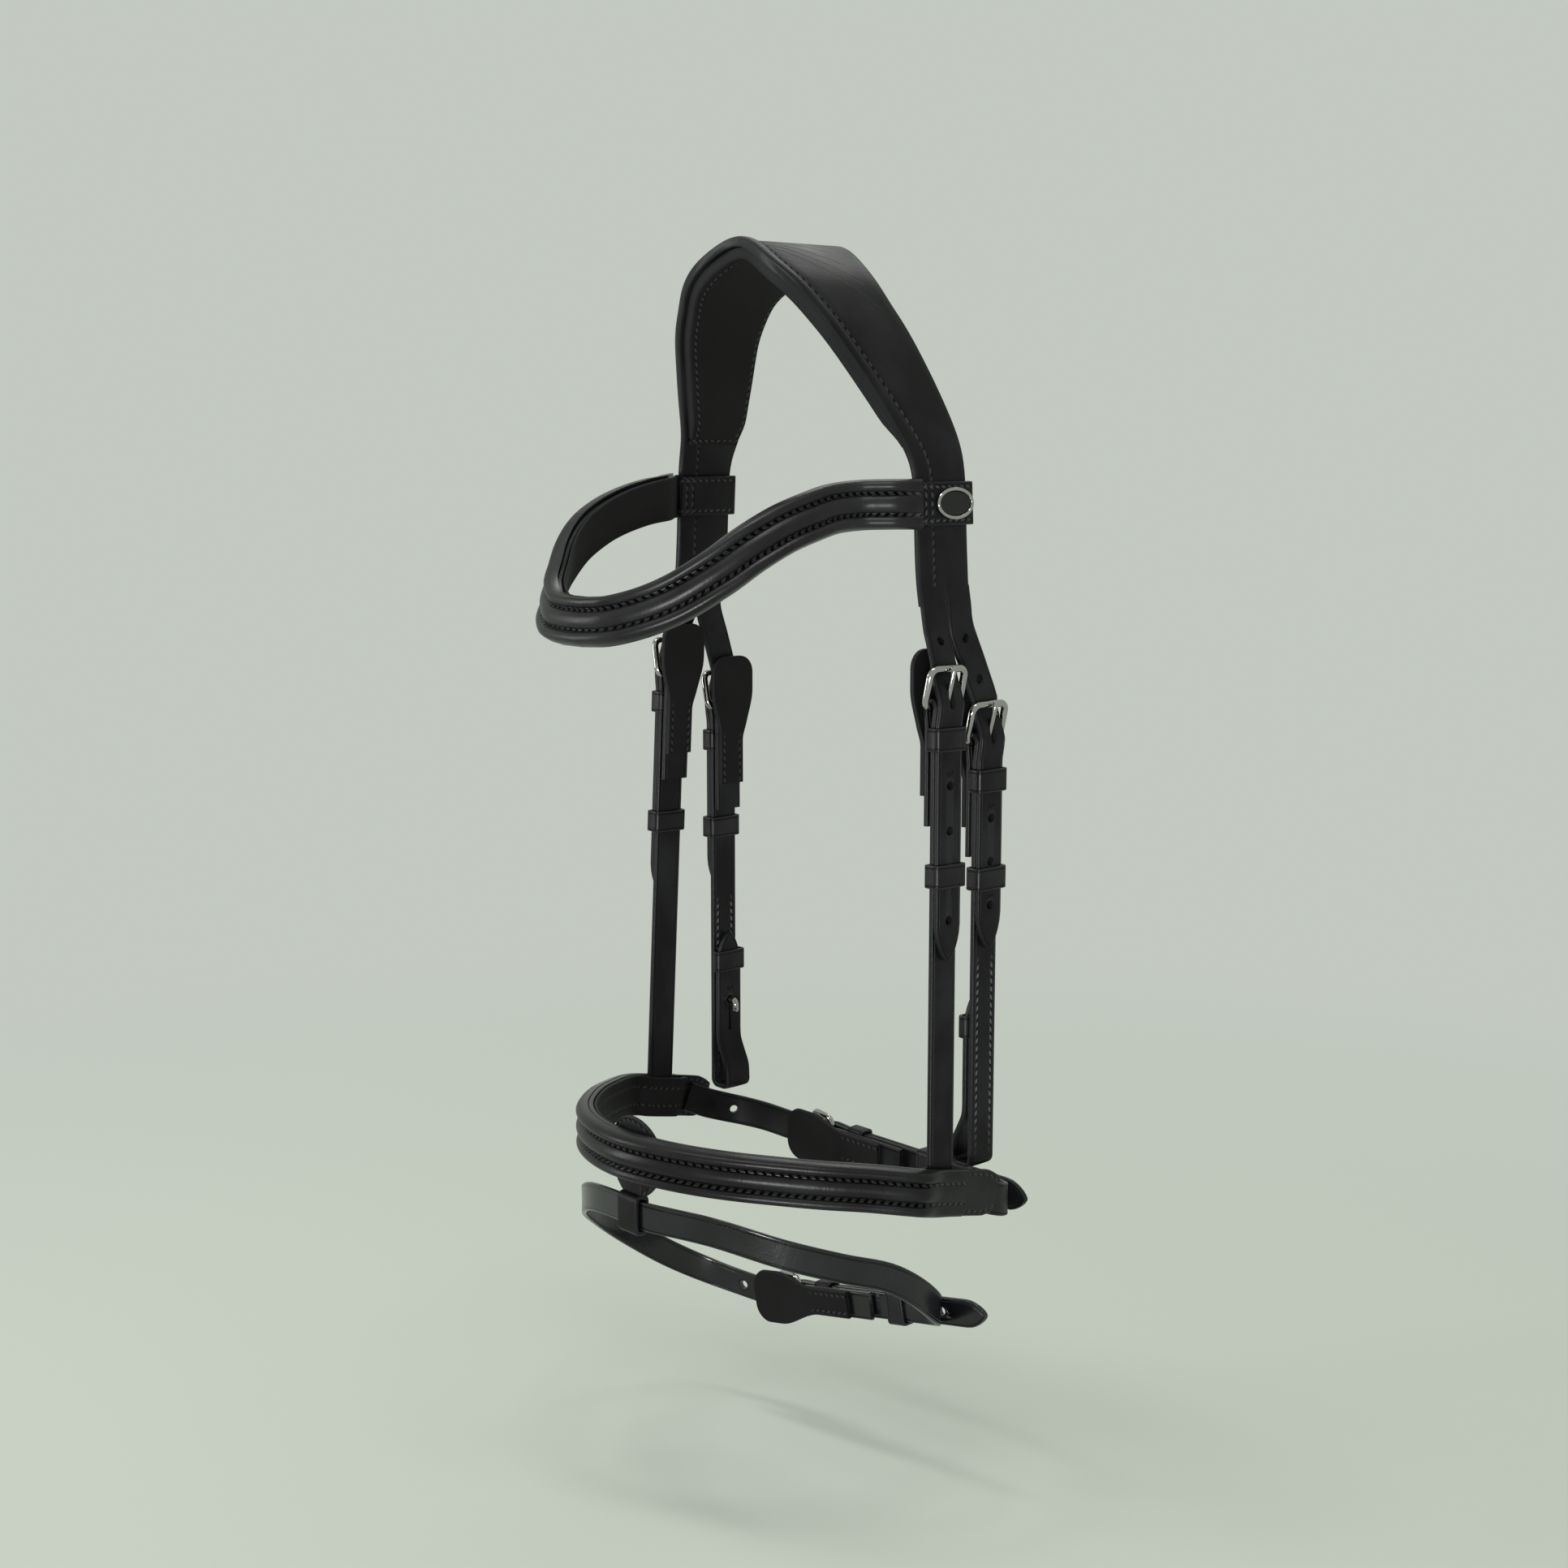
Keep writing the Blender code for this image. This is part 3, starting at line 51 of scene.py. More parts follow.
BACKWARDS = Vector((0, 1, 0))
LEFTWARDS = Vector((1, 0, 0))
SIDES = (("left", 1), ("right", -1))
print("solid pieces:", len(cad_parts))

# %% [markdown]
# ## Colours and a helper for material nodes
# Colours are chosen as hex values, as on a screen, but Blender mixes light with linear
# numbers. One function turns the first into the second. Another adds any node, sets its values,
# joins its inputs and hands back its output, so that each material below reads like a recipe.

# %% Turn hex colours to linear and add nodes
def colour(code):
    """A hex colour as four linear numbers."""
    parts = [int(code[k:k + 2], 16) / 255 for k in (1, 3, 5)]
    return tuple(p / 12.92 if p <= 0.04045 else ((p + 0.055) / 1.055) ** 2.4 for p in parts) + (1.0,)


def fill(node, inputs):
    """Sets a node's inputs to values, or joins them to other nodes' outputs."""
    for name, value in inputs.items():
        if isinstance(value, bpy.types.NodeSocket):
            node.id_data.links.new(value, node.inputs[name])
        else:
            node.inputs[name].default_value = value


def add_node(material, kind, inputs=None, output=0, **settings):
    """Adds a node with its settings and inputs, and gives the output asked for."""
    node = material.node_tree.nodes.new("ShaderNode" + kind)
    for name, value in settings.items():
        setattr(node, name, value)
    fill(node, inputs or {})
    return node.outputs[output]


def new_finish(name, base, roughness, metallic=0.0):
    """A material of one colour, and its shader."""
    material = bpy.data.materials.new(name)
    material.use_nodes = True
    shader = material.node_tree.nodes["Principled BSDF"]
    fill(shader, {"Base Color": colour(base), "Roughness": roughness, "Metallic": metallic})
    return material, shader


print("leather black in linear numbers:", [round(v, 4) for v in colour("#1f1f21")[:3]])

# %% [markdown]
# ## Bridle leather
# Bridle leather is vegetable-tanned cowhide, dyed black and filled with wax. Its face is
# smooth, with a fine grain of pebbles about half a millimetre wide and a soft, broad shine. Along each
# edge a hot iron presses a crease line, and where plies are sewn, a row of stitches sinks
# into the face: six or so to the inch, which is one every 4 mm. The pieces below carry three
# numbers on every point: its distance from the strap's edge, its distance along the strap, and
# whether the strap is sewn there. So the crease and the stitches follow each strap round its bends.
# The grain comes from noise on Object coordinates. A picture of leather could do this too, but it
# would repeat and would blur up close. The pebbles are drawn twice as wide as real ones, or they
# would be too fine to show.

# %% The leather's sizes
GRAIN = 0.55 * MM
STITCH_PITCH = 4.0 * MM
STITCH_SLANT = 0.9
THREAD = 0.5 * MM
CREASE_IN = 1.5 * MM
# Blotches of the hide, whose lighter tone also stands for painted sheen, and patches of folds to the metre,
# which makes them 36 and 62 mm wide
BLOTCH_AND_SHEEN_SCALE = 28.0
PATCH_SCALE = 16.0
# Folds to the metre across the strap and along it
FOLDS_ACROSS = 60.0
FOLDS_ALONG = 300.0
FOLD_HEIGHT = 0.18 * MM
# The crown's pressed lines in millimetres: how far each starts and ends from the middle, and how
# far it reaches in from the stitches
SWOOPS = ((15, 58, 34), (11, 42, 37), (7.5, 28, 38), (4, 15, 36))
SWOOP_IN = 11 * MM
print("stitches to the inch:", round(25.4 * MM / STITCH_PITCH, 1))

# %% Patterns for the leather
def band(add, distance, middle, half, soft):
    """1 within half of the middle, falling to 0 over soft."""
    off = add("Math", {0: distance, 1: middle}, operation="SUBTRACT")
    off = add("Math", {0: off}, operation="ABSOLUTE")
    return add("MapRange", {0: off, 1: half + soft, 2: half, 3: 0.0, 4: 1.0})


def stitched(add, edge, along, distance):
    """A row of stitches this far from the edge: its height, and where its holes and threads are."""
    sewn = add("Attribute", output="Fac", attribute_name="sewn")
    trough = add("Math", {0: band(add, edge, distance, 0.45 * MM, 0.8 * MM), 1: sewn}, operation="MULTIPLY")
    near = add("Math", {0: band(add, edge, distance, THREAD, 0.2 * MM), 1: sewn}, operation="MULTIPLY")
    off = add("Math", {0: edge, 1: distance}, operation="SUBTRACT")
    slanted = add("Math", {0: off, 1: STITCH_SLANT, 2: along}, operation="MULTIPLY_ADD")
    turn = add("Math", {0: slanted, 1: STITCH_PITCH}, operation="DIVIDE")
    turn = add("Math", {0: turn}, operation="FRACT")
    thread = add("Math", {0: band(add, turn, 0.5, 0.24, 0.10), 1: near}, operation="MULTIPLY")
    first, last = band(add, turn, 0.0, 0.17, 0.07), band(add, turn, 1.0, 0.17, 0.07)
    hole = add("Math", {0: first, 1: last}, operation="MAXIMUM")
    hole = add("Math", {0: hole, 1: near}, operation="MULTIPLY")
    height = add("Math", {0: trough, 1: -0.25 * MM}, operation="MULTIPLY")
    height = add("Math", {0: thread, 1: 0.35 * MM, 2: height}, operation="MULTIPLY_ADD")
    height = add("Math", {0: hole, 1: -0.7 * MM, 2: height}, operation="MULTIPLY_ADD")
    return height, hole, thread


def swooped(add, edge, along, middle):
    """Lines pressed into the crown, which fan out from its middle to both sides: 1 on a line."""
    off = add("Math", {0: along, 1: middle}, operation="SUBTRACT")
    off = add("Math", {0: off}, operation="ABSOLUTE")
    inside = add("Math", {0: edge, 1: SWOOP_IN}, operation="SUBTRACT")
    inside = add("Math", {0: inside, 1: 0.0}, operation="MAXIMUM")
    pressed = 0.0
    for start, end, reach in SWOOPS:
        bent = add("Math", {0: inside, 1: reach * MM}, operation="DIVIDE")
        bent = add("Math", {0: bent, 1: 1.7}, operation="POWER")
        curve = add("Math", {0: bent, 1: (end - start) * MM, 2: start * MM}, operation="MULTIPLY_ADD")
        gap = add("Math", {0: off, 1: curve}, operation="SUBTRACT")
        line = band(add, gap, 0.0, 0.25 * MM, 0.45 * MM)
        within = band(add, inside, reach / 2 * MM, (reach / 2 - 4) * MM, 4 * MM)
        line = add("Math", {0: line, 1: within}, operation="MULTIPLY")
        pressed = add("Math", {0: line, 1: pressed}, operation="MAXIMUM")
    return pressed


def wrinkled(add, place, edge, along):
    """Fine folds across a strap, in patches, where it has been bent."""
    across = add("Math", {0: edge, 1: FOLDS_ACROSS}, operation="MULTIPLY")
    spread = add("Math", {0: along, 1: FOLDS_ALONG}, operation="MULTIPLY")
    spread = add("CombineXYZ", {0: across, 1: spread})
    folds = add("TexNoise", {"Vector": spread, "Scale": 1.0, "Detail": 2.0})
    patch = add("TexNoise", {"Vector": place, "Scale": PATCH_SCALE})
    patch = add("MapRange", {0: patch, 1: 0.46, 2: 0.66})
    folds = add("Math", {0: folds, 1: patch}, operation="MULTIPLY")
    return add("Math", {0: folds, 1: FOLD_HEIGHT}, operation="MULTIPLY")


print("pressed lines on each side of the crown:", len(SWOOPS))

# %% Make the bridle leather
def leather(
    name, base, blotch_and_sheen_tone, roughness, grain_height, creases=(), rows=(), cross=(), swoops_from=None,
    shine=0.14, thread_tone="#2b2b2d",
):
    """A leather with creases and rows of stitches along its edges, and rows across it at these places."""
    material, shader = new_finish(name, base, roughness)
    add = partial(add_node, material)
    place = add("TexCoord", output="Object")
    edge = add("Attribute", output="Fac", attribute_name="edge")
    along = add("Attribute", output="Fac", attribute_name="along")
    hide_and_sheen_noise = add("TexNoise", {"Vector": place, "Scale": BLOTCH_AND_SHEEN_SCALE, "Detail": 4.0})
    pebbles = {"Vector": place, "Scale": 1 / (2.2 * GRAIN)}
    pebbles = add("TexVoronoi", pebbles, output="Distance", feature="SMOOTH_F1")
    height = add("Math", {0: pebbles, 1: grain_height}, operation="MULTIPLY")
    height = add("Math", {0: hide_and_sheen_noise, 1: 0.10 * MM, 2: height}, operation="MULTIPLY_ADD")
    height = add("Math", {0: height, 1: wrinkled(add, place, edge, along)}, operation="ADD")
    # The edge is worn a little paler and smoother than the face
    worn = band(add, edge, 0.0, 0.35 * MM, 0.5 * MM)
    rough = add("MapRange", {0: hide_and_sheen_noise, 1: 0.3, 2: 0.7, 3: roughness - 0.05, 4: roughness + 0.09})
    rough = add("Math", {0: worn, 1: -0.08, 2: rough}, operation="MULTIPLY_ADD")
    # Lighter patches from the same noise: partly the hide's own blotches, partly painted sheen
    share = add("MapRange", {0: hide_and_sheen_noise, 1: 0.42, 2: 0.72})
    tone = add("Mix", {0: share, 6: colour(base), 7: colour(blotch_and_sheen_tone)}, output=2, data_type="RGBA")
    toned = [(add("Math", {0: worn, 1: 0.6}, operation="MULTIPLY"), "#232325")]
    pressed = [(band(add, edge, distance, 0.16 * MM, 0.34 * MM), 0.45 * MM) for distance in creases]
    if swoops_from is not None:
        pressed.append((swooped(add, edge, along, swoops_from), 0.4 * MM))
    for line, depth in pressed:
        height = add("Math", {0: line, 1: -depth, 2: height}, operation="MULTIPLY_ADD")
        # The pressed lines are also painted near black: painted shade in their grooves
        toned.append((line, "#030303"))
    lines = [(edge, along, distance) for distance in rows] + [(along, edge, distance) for distance in cross]
    for to_row, on_row, distance in lines:
        stand, hole, thread = stitched(add, to_row, on_row, distance)
        height = add("Math", {0: height, 1: stand}, operation="ADD")
        # The stitch holes are painted near black as painted shade; the thread keeps its own tone
        toned += [(hole, "#030303"), (thread, thread_tone)]
    for where, code in toned:
        tone = add("Mix", {0: where, 6: tone, 7: colour(code)}, output=2, data_type="RGBA")
    bump = add("Bump", {"Strength": 1.0, "Distance": 1.0, "Height": height})
    fill(shader, {"Base Color": tone, "Roughness": rough, "Normal": bump, "Specular IOR Level": shine})
    return material


BLACK = "#0b0b0c"
STRAP_LEATHER = leather("creased bridle leather", BLACK, "#1d1d1f", 0.40, 0.05 * MM, creases=(CREASE_IN,))
PLAIN_LEATHER = leather("plain bridle leather", BLACK, "#1d1d1f", 0.42, 0.05 * MM)
LINING_LEATHER = leather("matt lining leather", "#0c0c0c", "#141414", 0.68, 0.09 * MM)
GUARD_LEATHER = leather("matt guard leather", "#0b0b0b", "#131313", 0.66, 0.09 * MM, rows=(2.6 * MM,))
made = (STRAP_LEATHER, PLAIN_LEATHER, LINING_LEATHER, GUARD_LEATHER)
print("leathers made:", [finish.name for finish in made])

# %% [markdown]
# ## Steel and lacquer
# The buckles are stainless steel, polished on a wheel until the room shows in them. A metal's
# colour is its reflection, so the base is pale, metallic is 1 and the roughness is low, with
# a faint noise for the handling marks. The badge's plate is lacquered black and left plain, and
# its marks are much finer.

# %% Make the polished steel and the black lacquer
def polished(name, base, low, high, marks_apart, metallic, dents, shine):
    """A polished finish whose roughness varies a little from mark to mark."""
    material, shader = new_finish(name, base, low, metallic)
    add = partial(add_node, material)
    place = add("TexCoord", output="Object")
    marks = add("TexNoise", {"Vector": place, "Scale": 1 / marks_apart, "Detail": 3.0})
    rough = add("MapRange", {0: marks, 1: 0.3, 2: 0.7, 3: low, 4: high})
    bump = add("Bump", {"Strength": dents, "Distance": 0.05 * MM, "Height": marks})
    fill(shader, {"Roughness": rough, "Normal": bump, "Specular IOR Level": shine})
    return material


POLISHED_STEEL = polished("polished stainless steel", "#a9a9a6", 0.07, 0.15, 2.5 * MM, 1.0, 0.15, 0.5)
PLATE_LACQUER = polished("black lacquer", "#0c0c0d", 0.08, 0.20, 0.04 * MM, 0.0, 0.0, 0.35)
print("metal and lacquer made:", [POLISHED_STEEL.name, PLATE_LACQUER.name])

# %% [markdown]
# ## Sweeping a strap along its route
# A strap is one outline carried along a line. Curve objects can do this, but they twist on tight
# turns. Here a bmesh starts with the outline as a ring of edges. The operator
# extrude_edge_only copies the ring, and a matrix puts the copy at the next place on the route.
# Each place has three directions: along the strap, across it, and out of its face. The sweep also
# writes on each point how far it lies from the strap's edge and along it, and whether it is sewn,
# for the leather's creases and stitches.

# %% Frames along a route
def frames(route, across_hint=None, out_hint=None):
    """Each point of a route with the directions across the strap and out of its face."""
    hints = across_hint if isinstance(across_hint, list) else [across_hint] * len(route)
    found = []
    last = len(route) - 1
    for k, point in enumerate(route):
        before = (point - route[max(k - 1, 0)]).normalized()
        after = (route[min(k + 1, last)] - point).normalized()
        along = (before + after).normalized()
        if out_hint is None:
            across = (hints[k] - along * hints[k].dot(along)).normalized()
            out = across.cross(along)
        else:
            out = (out_hint - along * out_hint.dot(along)).normalized()
            across = along.cross(out)
        found.append((point, across, out))
    return found


def smooth_route(points, steps):
    """Points on a smooth curve through the given ones."""
    ends = [points[0] * 2 - points[1]] + list(points) + [points[-1] * 2 - points[-2]]
    route = []
    for before, start, end, after in zip(ends, ends[1:], ends[2:], ends[3:]):
        for step in range(steps):
            t = step / steps
            spread = (end - before) * t + (before * 2 - start * 5 + end * 4 - after) * t * t
            spread += (start * 3 - before - end * 3 + after) * t * t * t
            route.append(start + spread / 2)
    return route + [points[-1]]


def lengths_along(points):
    """How far along its route each point lies."""
    reached = [0.0]
    for first, second in zip(points, points[1:]):
        reached.append(reached[-1] + (second - first).length)
    return reached


def ramp(value):
    """0 below 0, 1 above 1, and a smooth step between."""
    value = min(max(value, 0), 1)
    return value * value * (3 - 2 * value)


print("a ramp half way up:", ramp(0.5))

# %% Sweep an outline through frames
# What a sweep writes on each point, for the leathers to read
MARKS = ("edge", "along", "sewn")


def own_matrix(x_way, y_way, z_way, place):
    """The matrix that lays a shape's own x, y and z along these directions, from this place."""
    matrix = Matrix((x_way, y_way, z_way)).transposed().to_4x4()
    matrix.translation = place
    return matrix


def only(geometry, kind):
    """The parts of one kind that an operator made."""
    return [part for part in geometry if isinstance(part, kind)]


def sweep(stations, outline, half_of=None, closed=False, sewn_of=None, one_edge=False):
    """A bmesh through every station. An outline point is a share of the half width, and metres out.

    The outline is one list, or a function that gives the list for each station.
    """
    mesh = bmesh.new()
    number = mesh.verts.layers.int.new("number")
    marks = {name: mesh.verts.layers.float.new(name) for name in MARKS}
    reached = lengths_along([row[0] for row in stations])
    half_of = half_of or (lambda k: 1.0)
    outline_of = outline if callable(outline) else (lambda k: outline)
    ring = [mesh.verts.new((a, o, 0)) for a, o in outline_of(0)]
    for k, vert in enumerate(ring):
        vert[number] = k
    edges = [mesh.edges.new((a, b)) for a, b in zip(ring, ring[1:] + ring[:1])]
    first = edges
    for k, (point, across, out) in enumerate(stations):
        if k:
            made = bmesh.ops.extrude_edge_only(mesh, edges=edges)["geom"]
            ring = only(made, BMVert)
            kept = set(ring)
            edges = [edge for edge in only(made, BMEdge) if set(edge.verts) <= kept]
        half = half_of(k)
        here = own_matrix(across * half, out, across.cross(out), point)
        shape = outline_of(k)
        low, high = min(a for a, o in shape), max(a for a, o in shape)
        for vert in ring:
            a, o = shape[vert[number]]
            vert.co = here @ Vector((a, o, 0))
            vert[marks["edge"]] = half * (a - low if one_edge else min(a - low, high - a))
            vert[marks["along"]] = reached[k]
            vert[marks["sewn"]] = sewn_of(k) if sewn_of else 1.0
    if closed:
        bmesh.ops.bridge_loops(mesh, edges=first + edges)
    else:
        bmesh.ops.holes_fill(mesh, edges=first + edges)
    bmesh.ops.recalc_face_normals(mesh, faces=mesh.faces)
    return mesh


print("marks on each swept point:", MARKS)

# %% A strap's outline
def strap_outline(ply, corner, crown=0.0, steps=3, half=8 * MM):
    """A strap's outline: a crowned face and rounded edges, from edge to edge and back inside."""
    points = []
    radius = min(corner, ply / 2)
    for quarter in range(4):
        side = 1 if quarter in (0, 3) else -1
        level = 1 if quarter < 2 else -1
        for step in range(steps + 1):
            angle = math.pi / 2 * (quarter + step / steps)
            a = side * (half - radius) + radius * math.cos(angle)
            o = level * (ply / 2 - radius) + radius * math.sin(angle)
            points.append((a / half, o))
        if quarter in (0, 2):
            for share in (0.85, 0.6, 0.3, 0.0, -0.3, -0.6, -0.85):
                rise = crown * (1 - share * share) if level > 0 else 0
                points.append((side * share, level * ply / 2 + rise))
    return points


print("points in a strap's outline:", len(strap_outline(2.5 * MM, 0.6 * MM)))

# %% [markdown]
# ## Turning a bmesh into a finished piece
# Every new piece is finished the same way. Its points are already in the bridle's own place, so the
# object stays at the origin. It gets smooth shading with sharp edges kept, a finish, and the body that
# it moves with, and the solid that it stands for is hidden.

# %% Finish a piece
# Edges that turn by more degrees than this stay sharp
SHARP = 40


def finish_piece(name, mesh, material, body, stands_for=(), sharp=SHARP):
    """An object from a bmesh, shaded, with its finish and its marks, on its body, with the solids it stands
    for hidden.
    """
    data = bpy.data.meshes.new(name)
    mesh.to_mesh(data)
    mesh.free()
    data.shade_smooth()
    data.set_sharp_from_angle(angle=math.radians(sharp))
    data.materials.append(material)
    piece = bpy.data.objects.new(name, data)
    bpy.context.scene.collection.objects.link(piece)
    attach(piece, body)
    if stands_for:
        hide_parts(*stands_for)
    return piece


def cut(piece, cutters):
    """Takes closed helper meshes out of a piece, exactly, and keeps the result."""
    for mesh in cutters:
        data = bpy.data.meshes.new("cutter")
        bmesh.ops.recalc_face_normals(mesh, faces=mesh.faces)
        mesh.to_mesh(data)
        mesh.free()
        helper = bpy.data.objects.new("cutter", data)
        bpy.context.scene.collection.objects.link(helper)
        modifier = piece.modifiers.new("cut", "BOOLEAN")
        modifier.operation = "DIFFERENCE"
        modifier.solver = "EXACT"
        modifier.object = helper
        graph = bpy.context.evaluated_depsgraph_get()
        result = bpy.data.meshes.new_from_object(
            piece.evaluated_get(graph), preserve_all_data_layers=True, depsgraph=graph,
        )
        piece.modifiers.clear()
        old = piece.data
        piece.data = result
        result.name = piece.name
        bpy.data.meshes.remove(old)
        bpy.data.objects.remove(helper)
    piece.data.shade_smooth()
    piece.data.set_sharp_from_angle(angle=math.radians(SHARP))


def turns_of(count):
    """Angles evenly round a circle."""
    return [math.tau * step / count for step in range(count)]


def round_bar(stations, radii, sides=16, closed=False):
    """A round wire along frames, with its radius at each."""
    circle = [(math.cos(turn), math.sin(turn)) for turn in turns_of(sides)]
    return sweep(stations, lambda k: [(radii[k] * a, radii[k] * o) for a, o in circle], closed=closed)


# %% [markdown]
# ## The buckle station
# Six places on the bridle use the same fastening. One strap turns round the buckle's bar and is sewn
# back on itself. The other strap, the billet, comes down from above, passes under the buckle's
# crossbar and over the bar, and lies on the first strap under two leather keepers. A tongue stands
# up from the bar through a hole in the billet. A class keeps each station's place and directions, and
# the same few functions then dress all six.

# %% The sizes of a station
PLY = 2.5 * MM
GAP = 0.3 * MM
WIRE = 1.75 * MM
TONGUE = 1.3 * MM
STRAP_WIDTH = 16 * MM
FLASH_WIDTH = 14 * MM
BUCKLE_LENGTH = 18 * MM
BUCKLE_CORNER = 4 * MM
BUCKLE_PLAY = 1.5 * MM
CROSSBAR_RISE = 4.2 * MM
TURN_CONVERGE = 9 * MM
TURN_BACK = 55 * MM
KEEPER_WALL = 1.6 * MM
KEEPER_TUCKED_WALL = 1.0 * MM
KEEPER_HEIGHT = 11 * MM
TIP_LENGTH = 17 * MM
TIP_HALF = 0.8 * MM
# How far a billet's last steps lie from its tip, as shares of the tip's length
TIP_SHARES = (1.0, 0.75, 0.55, 0.38, 0.24, 0.13, 0.05, 0.0)
# The tongue's hole in the billet, and its slot in the turned strap
TONGUE_HOLE = (11.6 * MM, 3.8 * MM)
SLOT_WIDTH = 4.4 * MM
SLOT_BELOW = 5.6 * MM
HOLE_PITCH = 21 * MM
HOLE_DIAMETER = 4.4 * MM
GUARD_TOP = 27 * MM
GUARD_FOOT = 41 * MM
GUARD_CORNER = 9 * MM
GUARD_HALF = 14 * MM
GUARD_PLY = 2.4 * MM
SLIDING_CLEARANCE = 0.45 * MM
EDGE = 0.6 * MM
# How much the billet's curve is eased between its levels
EASE = 0.6 * MM

BAR_TURN = WIRE + GAP + PLY / 2
MAIN_LEVEL = (KEEPER_TUCKED_WALL + 2 * GAP) / 2 + PLY / 2
BILLET_LEVEL = MAIN_LEVEL + PLY + GAP
BILLET_OVER_BAR = BAR_TURN + PLY + GAP
BILLET_UNDER_CROSSBAR = CROSSBAR_RISE - WIRE - GAP - PLY / 2
GUARD_FOOT_LEVEL = -MAIN_LEVEL - PLY / 2 - GAP - GUARD_PLY / 2
GUARD_BAR_LEVEL = -BAR_TURN - PLY / 2 - GAP - GUARD_PLY / 2
TONGUE_RISE = CROSSBAR_RISE + WIRE + GAP + TONGUE - BAR_TURN
print("billet level above the bar:", round(BILLET_LEVEL * 1000, 2), "mm")

# %% The station and the routes through it
class Station:
    """A buckle's own frame: its bar's place, and directions across, out and up the strap."""

    def __init__(self, bar, up, across_hint, fixed_drop, sliding_drop, width=STRAP_WIDTH):
        self.bar = bar
        self.up = up.normalized()
        self.across = (across_hint - self.up * across_hint.dot(self.up)).normalized()
        self.out = self.up.cross(self.across)
        self.width = width
        self.foot = -up.length
        self.fixed_drop = fixed_drop
        self.sliding_drop = sliding_drop

    def at(self, up, out=0.0, across=0.0):
        """The point this far from the bar's middle in the station's own directions."""
        return self.bar + self.up * up + self.out * out + self.across * across


def turn_route(station):
    """Down the face to the bar, round it, and back up inside."""
    outer = [station.at(-TURN_CONVERGE - PLY, MAIN_LEVEL), station.at(-TURN_CONVERGE, MAIN_LEVEL)]
    bend = []
    for step in range(17):
        angle = math.pi / 2 - math.pi * step / 16
        bend.append(station.at(BAR_TURN * math.cos(angle), BAR_TURN * math.sin(angle)))
    return outer + bend + [station.at(-TURN_CONVERGE, -MAIN_LEVEL), station.at(-TURN_BACK, -MAIN_LEVEL)]


def billet_route(station, reach):
    """Under the crossbar, over the bar and down to the tip."""
    bent = smooth_route([
        station.at(BUCKLE_LENGTH + WIRE, BILLET_UNDER_CROSSBAR),
        station.at(BUCKLE_LENGTH, BILLET_UNDER_CROSSBAR),
        station.at(BUCKLE_LENGTH - 2 * WIRE, BILLET_UNDER_CROSSBAR + EASE),
        station.at(BAR_TURN, BILLET_OVER_BAR - EASE / 2),
        station.at(0, BILLET_OVER_BAR),
        station.at(-TURN_CONVERGE / 2, BILLET_OVER_BAR - EASE),
        station.at(-TURN_CONVERGE, BILLET_LEVEL),
        station.at(-2 * TURN_CONVERGE, BILLET_LEVEL),
    ], 3)
    straight = [station.at(-station.sliding_drop, BILLET_LEVEL)]
    return bent + straight + [station.at(-reach + TIP_LENGTH * share, BILLET_LEVEL) for share in TIP_SHARES]


def billet_half_width(left_to_tip, width, tip=TIP_LENGTH):
    """Half the strap's width, which narrows to a rounded point over the tip."""
    share = min(left_to_tip / tip, 1)
    return TIP_HALF + (width / 2 - TIP_HALF) * (1 - (1 - share) ** 1.7) ** 0.72


print("a billet's width 3 mm from its tip:", round(2000 * billet_half_width(3 * MM, STRAP_WIDTH), 1), "mm")

# %% Cutters for holes and slots
def punch(place, across, up, out, length, width, depth):
    """A cutter for an oval hole, which starts at this place and goes this deep along out."""
    mesh = bmesh.new()
    bmesh.ops.create_circle(mesh, cap_ends=True, segments=24, radius=width / 2)
    for vert in mesh.verts:
        vert.co.y += math.copysign((length - width) / 2, vert.co.y)
    made = bmesh.ops.extrude_face_region(mesh, geom=mesh.faces[:])["geom"]
    bmesh.ops.translate(mesh, verts=only(made, BMVert), vec=(0, 0, depth))
    bmesh.ops.transform(mesh, matrix=own_matrix(across, up, out, place), verts=mesh.verts)
    return mesh


def oval_cutter(station, reach_up, length, width, low, high):
    """A cutter for an oval hole centred this far up the station, between two levels."""
    place = station.at(reach_up, low)
    return punch(place, station.across, station.up, station.out, length, width, high - low)


def hole_at(stations, wanted, low=PLY):
    """A cutter for a round hole in a strap's face, this far along its stations.

    It starts low under the strap's middle line, so it goes right through unless low is small.
    """
    reached = lengths_along([row[0] for row in stations])
    k = sum(1 for length in reached if length <= wanted) - 1
    share = (wanted - reached[k]) / (reached[k + 1] - reached[k])
    place = stations[k][0].lerp(stations[k + 1][0], share)
    across, out = stations[k][1:]
    return punch(place - out * low, across, out.cross(across), out, HOLE_DIAMETER, HOLE_DIAMETER, low + PLY)


def billet_cutters(station, reach):
    """The tongue's oval hole and the row of spare round holes."""
    rise = (BILLET_OVER_BAR - BILLET_UNDER_CROSSBAR) / BUCKLE_LENGTH
    middle = (BILLET_OVER_BAR - BAR_TURN) / (rise + TONGUE_RISE / BUCKLE_LENGTH)
    low, high = BILLET_UNDER_CROSSBAR - PLY, BILLET_OVER_BAR + PLY
    cutters = [oval_cutter(station, middle, *TONGUE_HOLE, low, high)]
    first = 2 * BUCKLE_LENGTH
    low, high = BILLET_LEVEL - PLY, BILLET_LEVEL + PLY
    for number in range(int((reach - first - TIP_LENGTH) / HOLE_PITCH) + 1):
        up = -first - number * HOLE_PITCH
        cutters.append(oval_cutter(station, up, HOLE_DIAMETER, HOLE_DIAMETER, low, high))
    return cutters


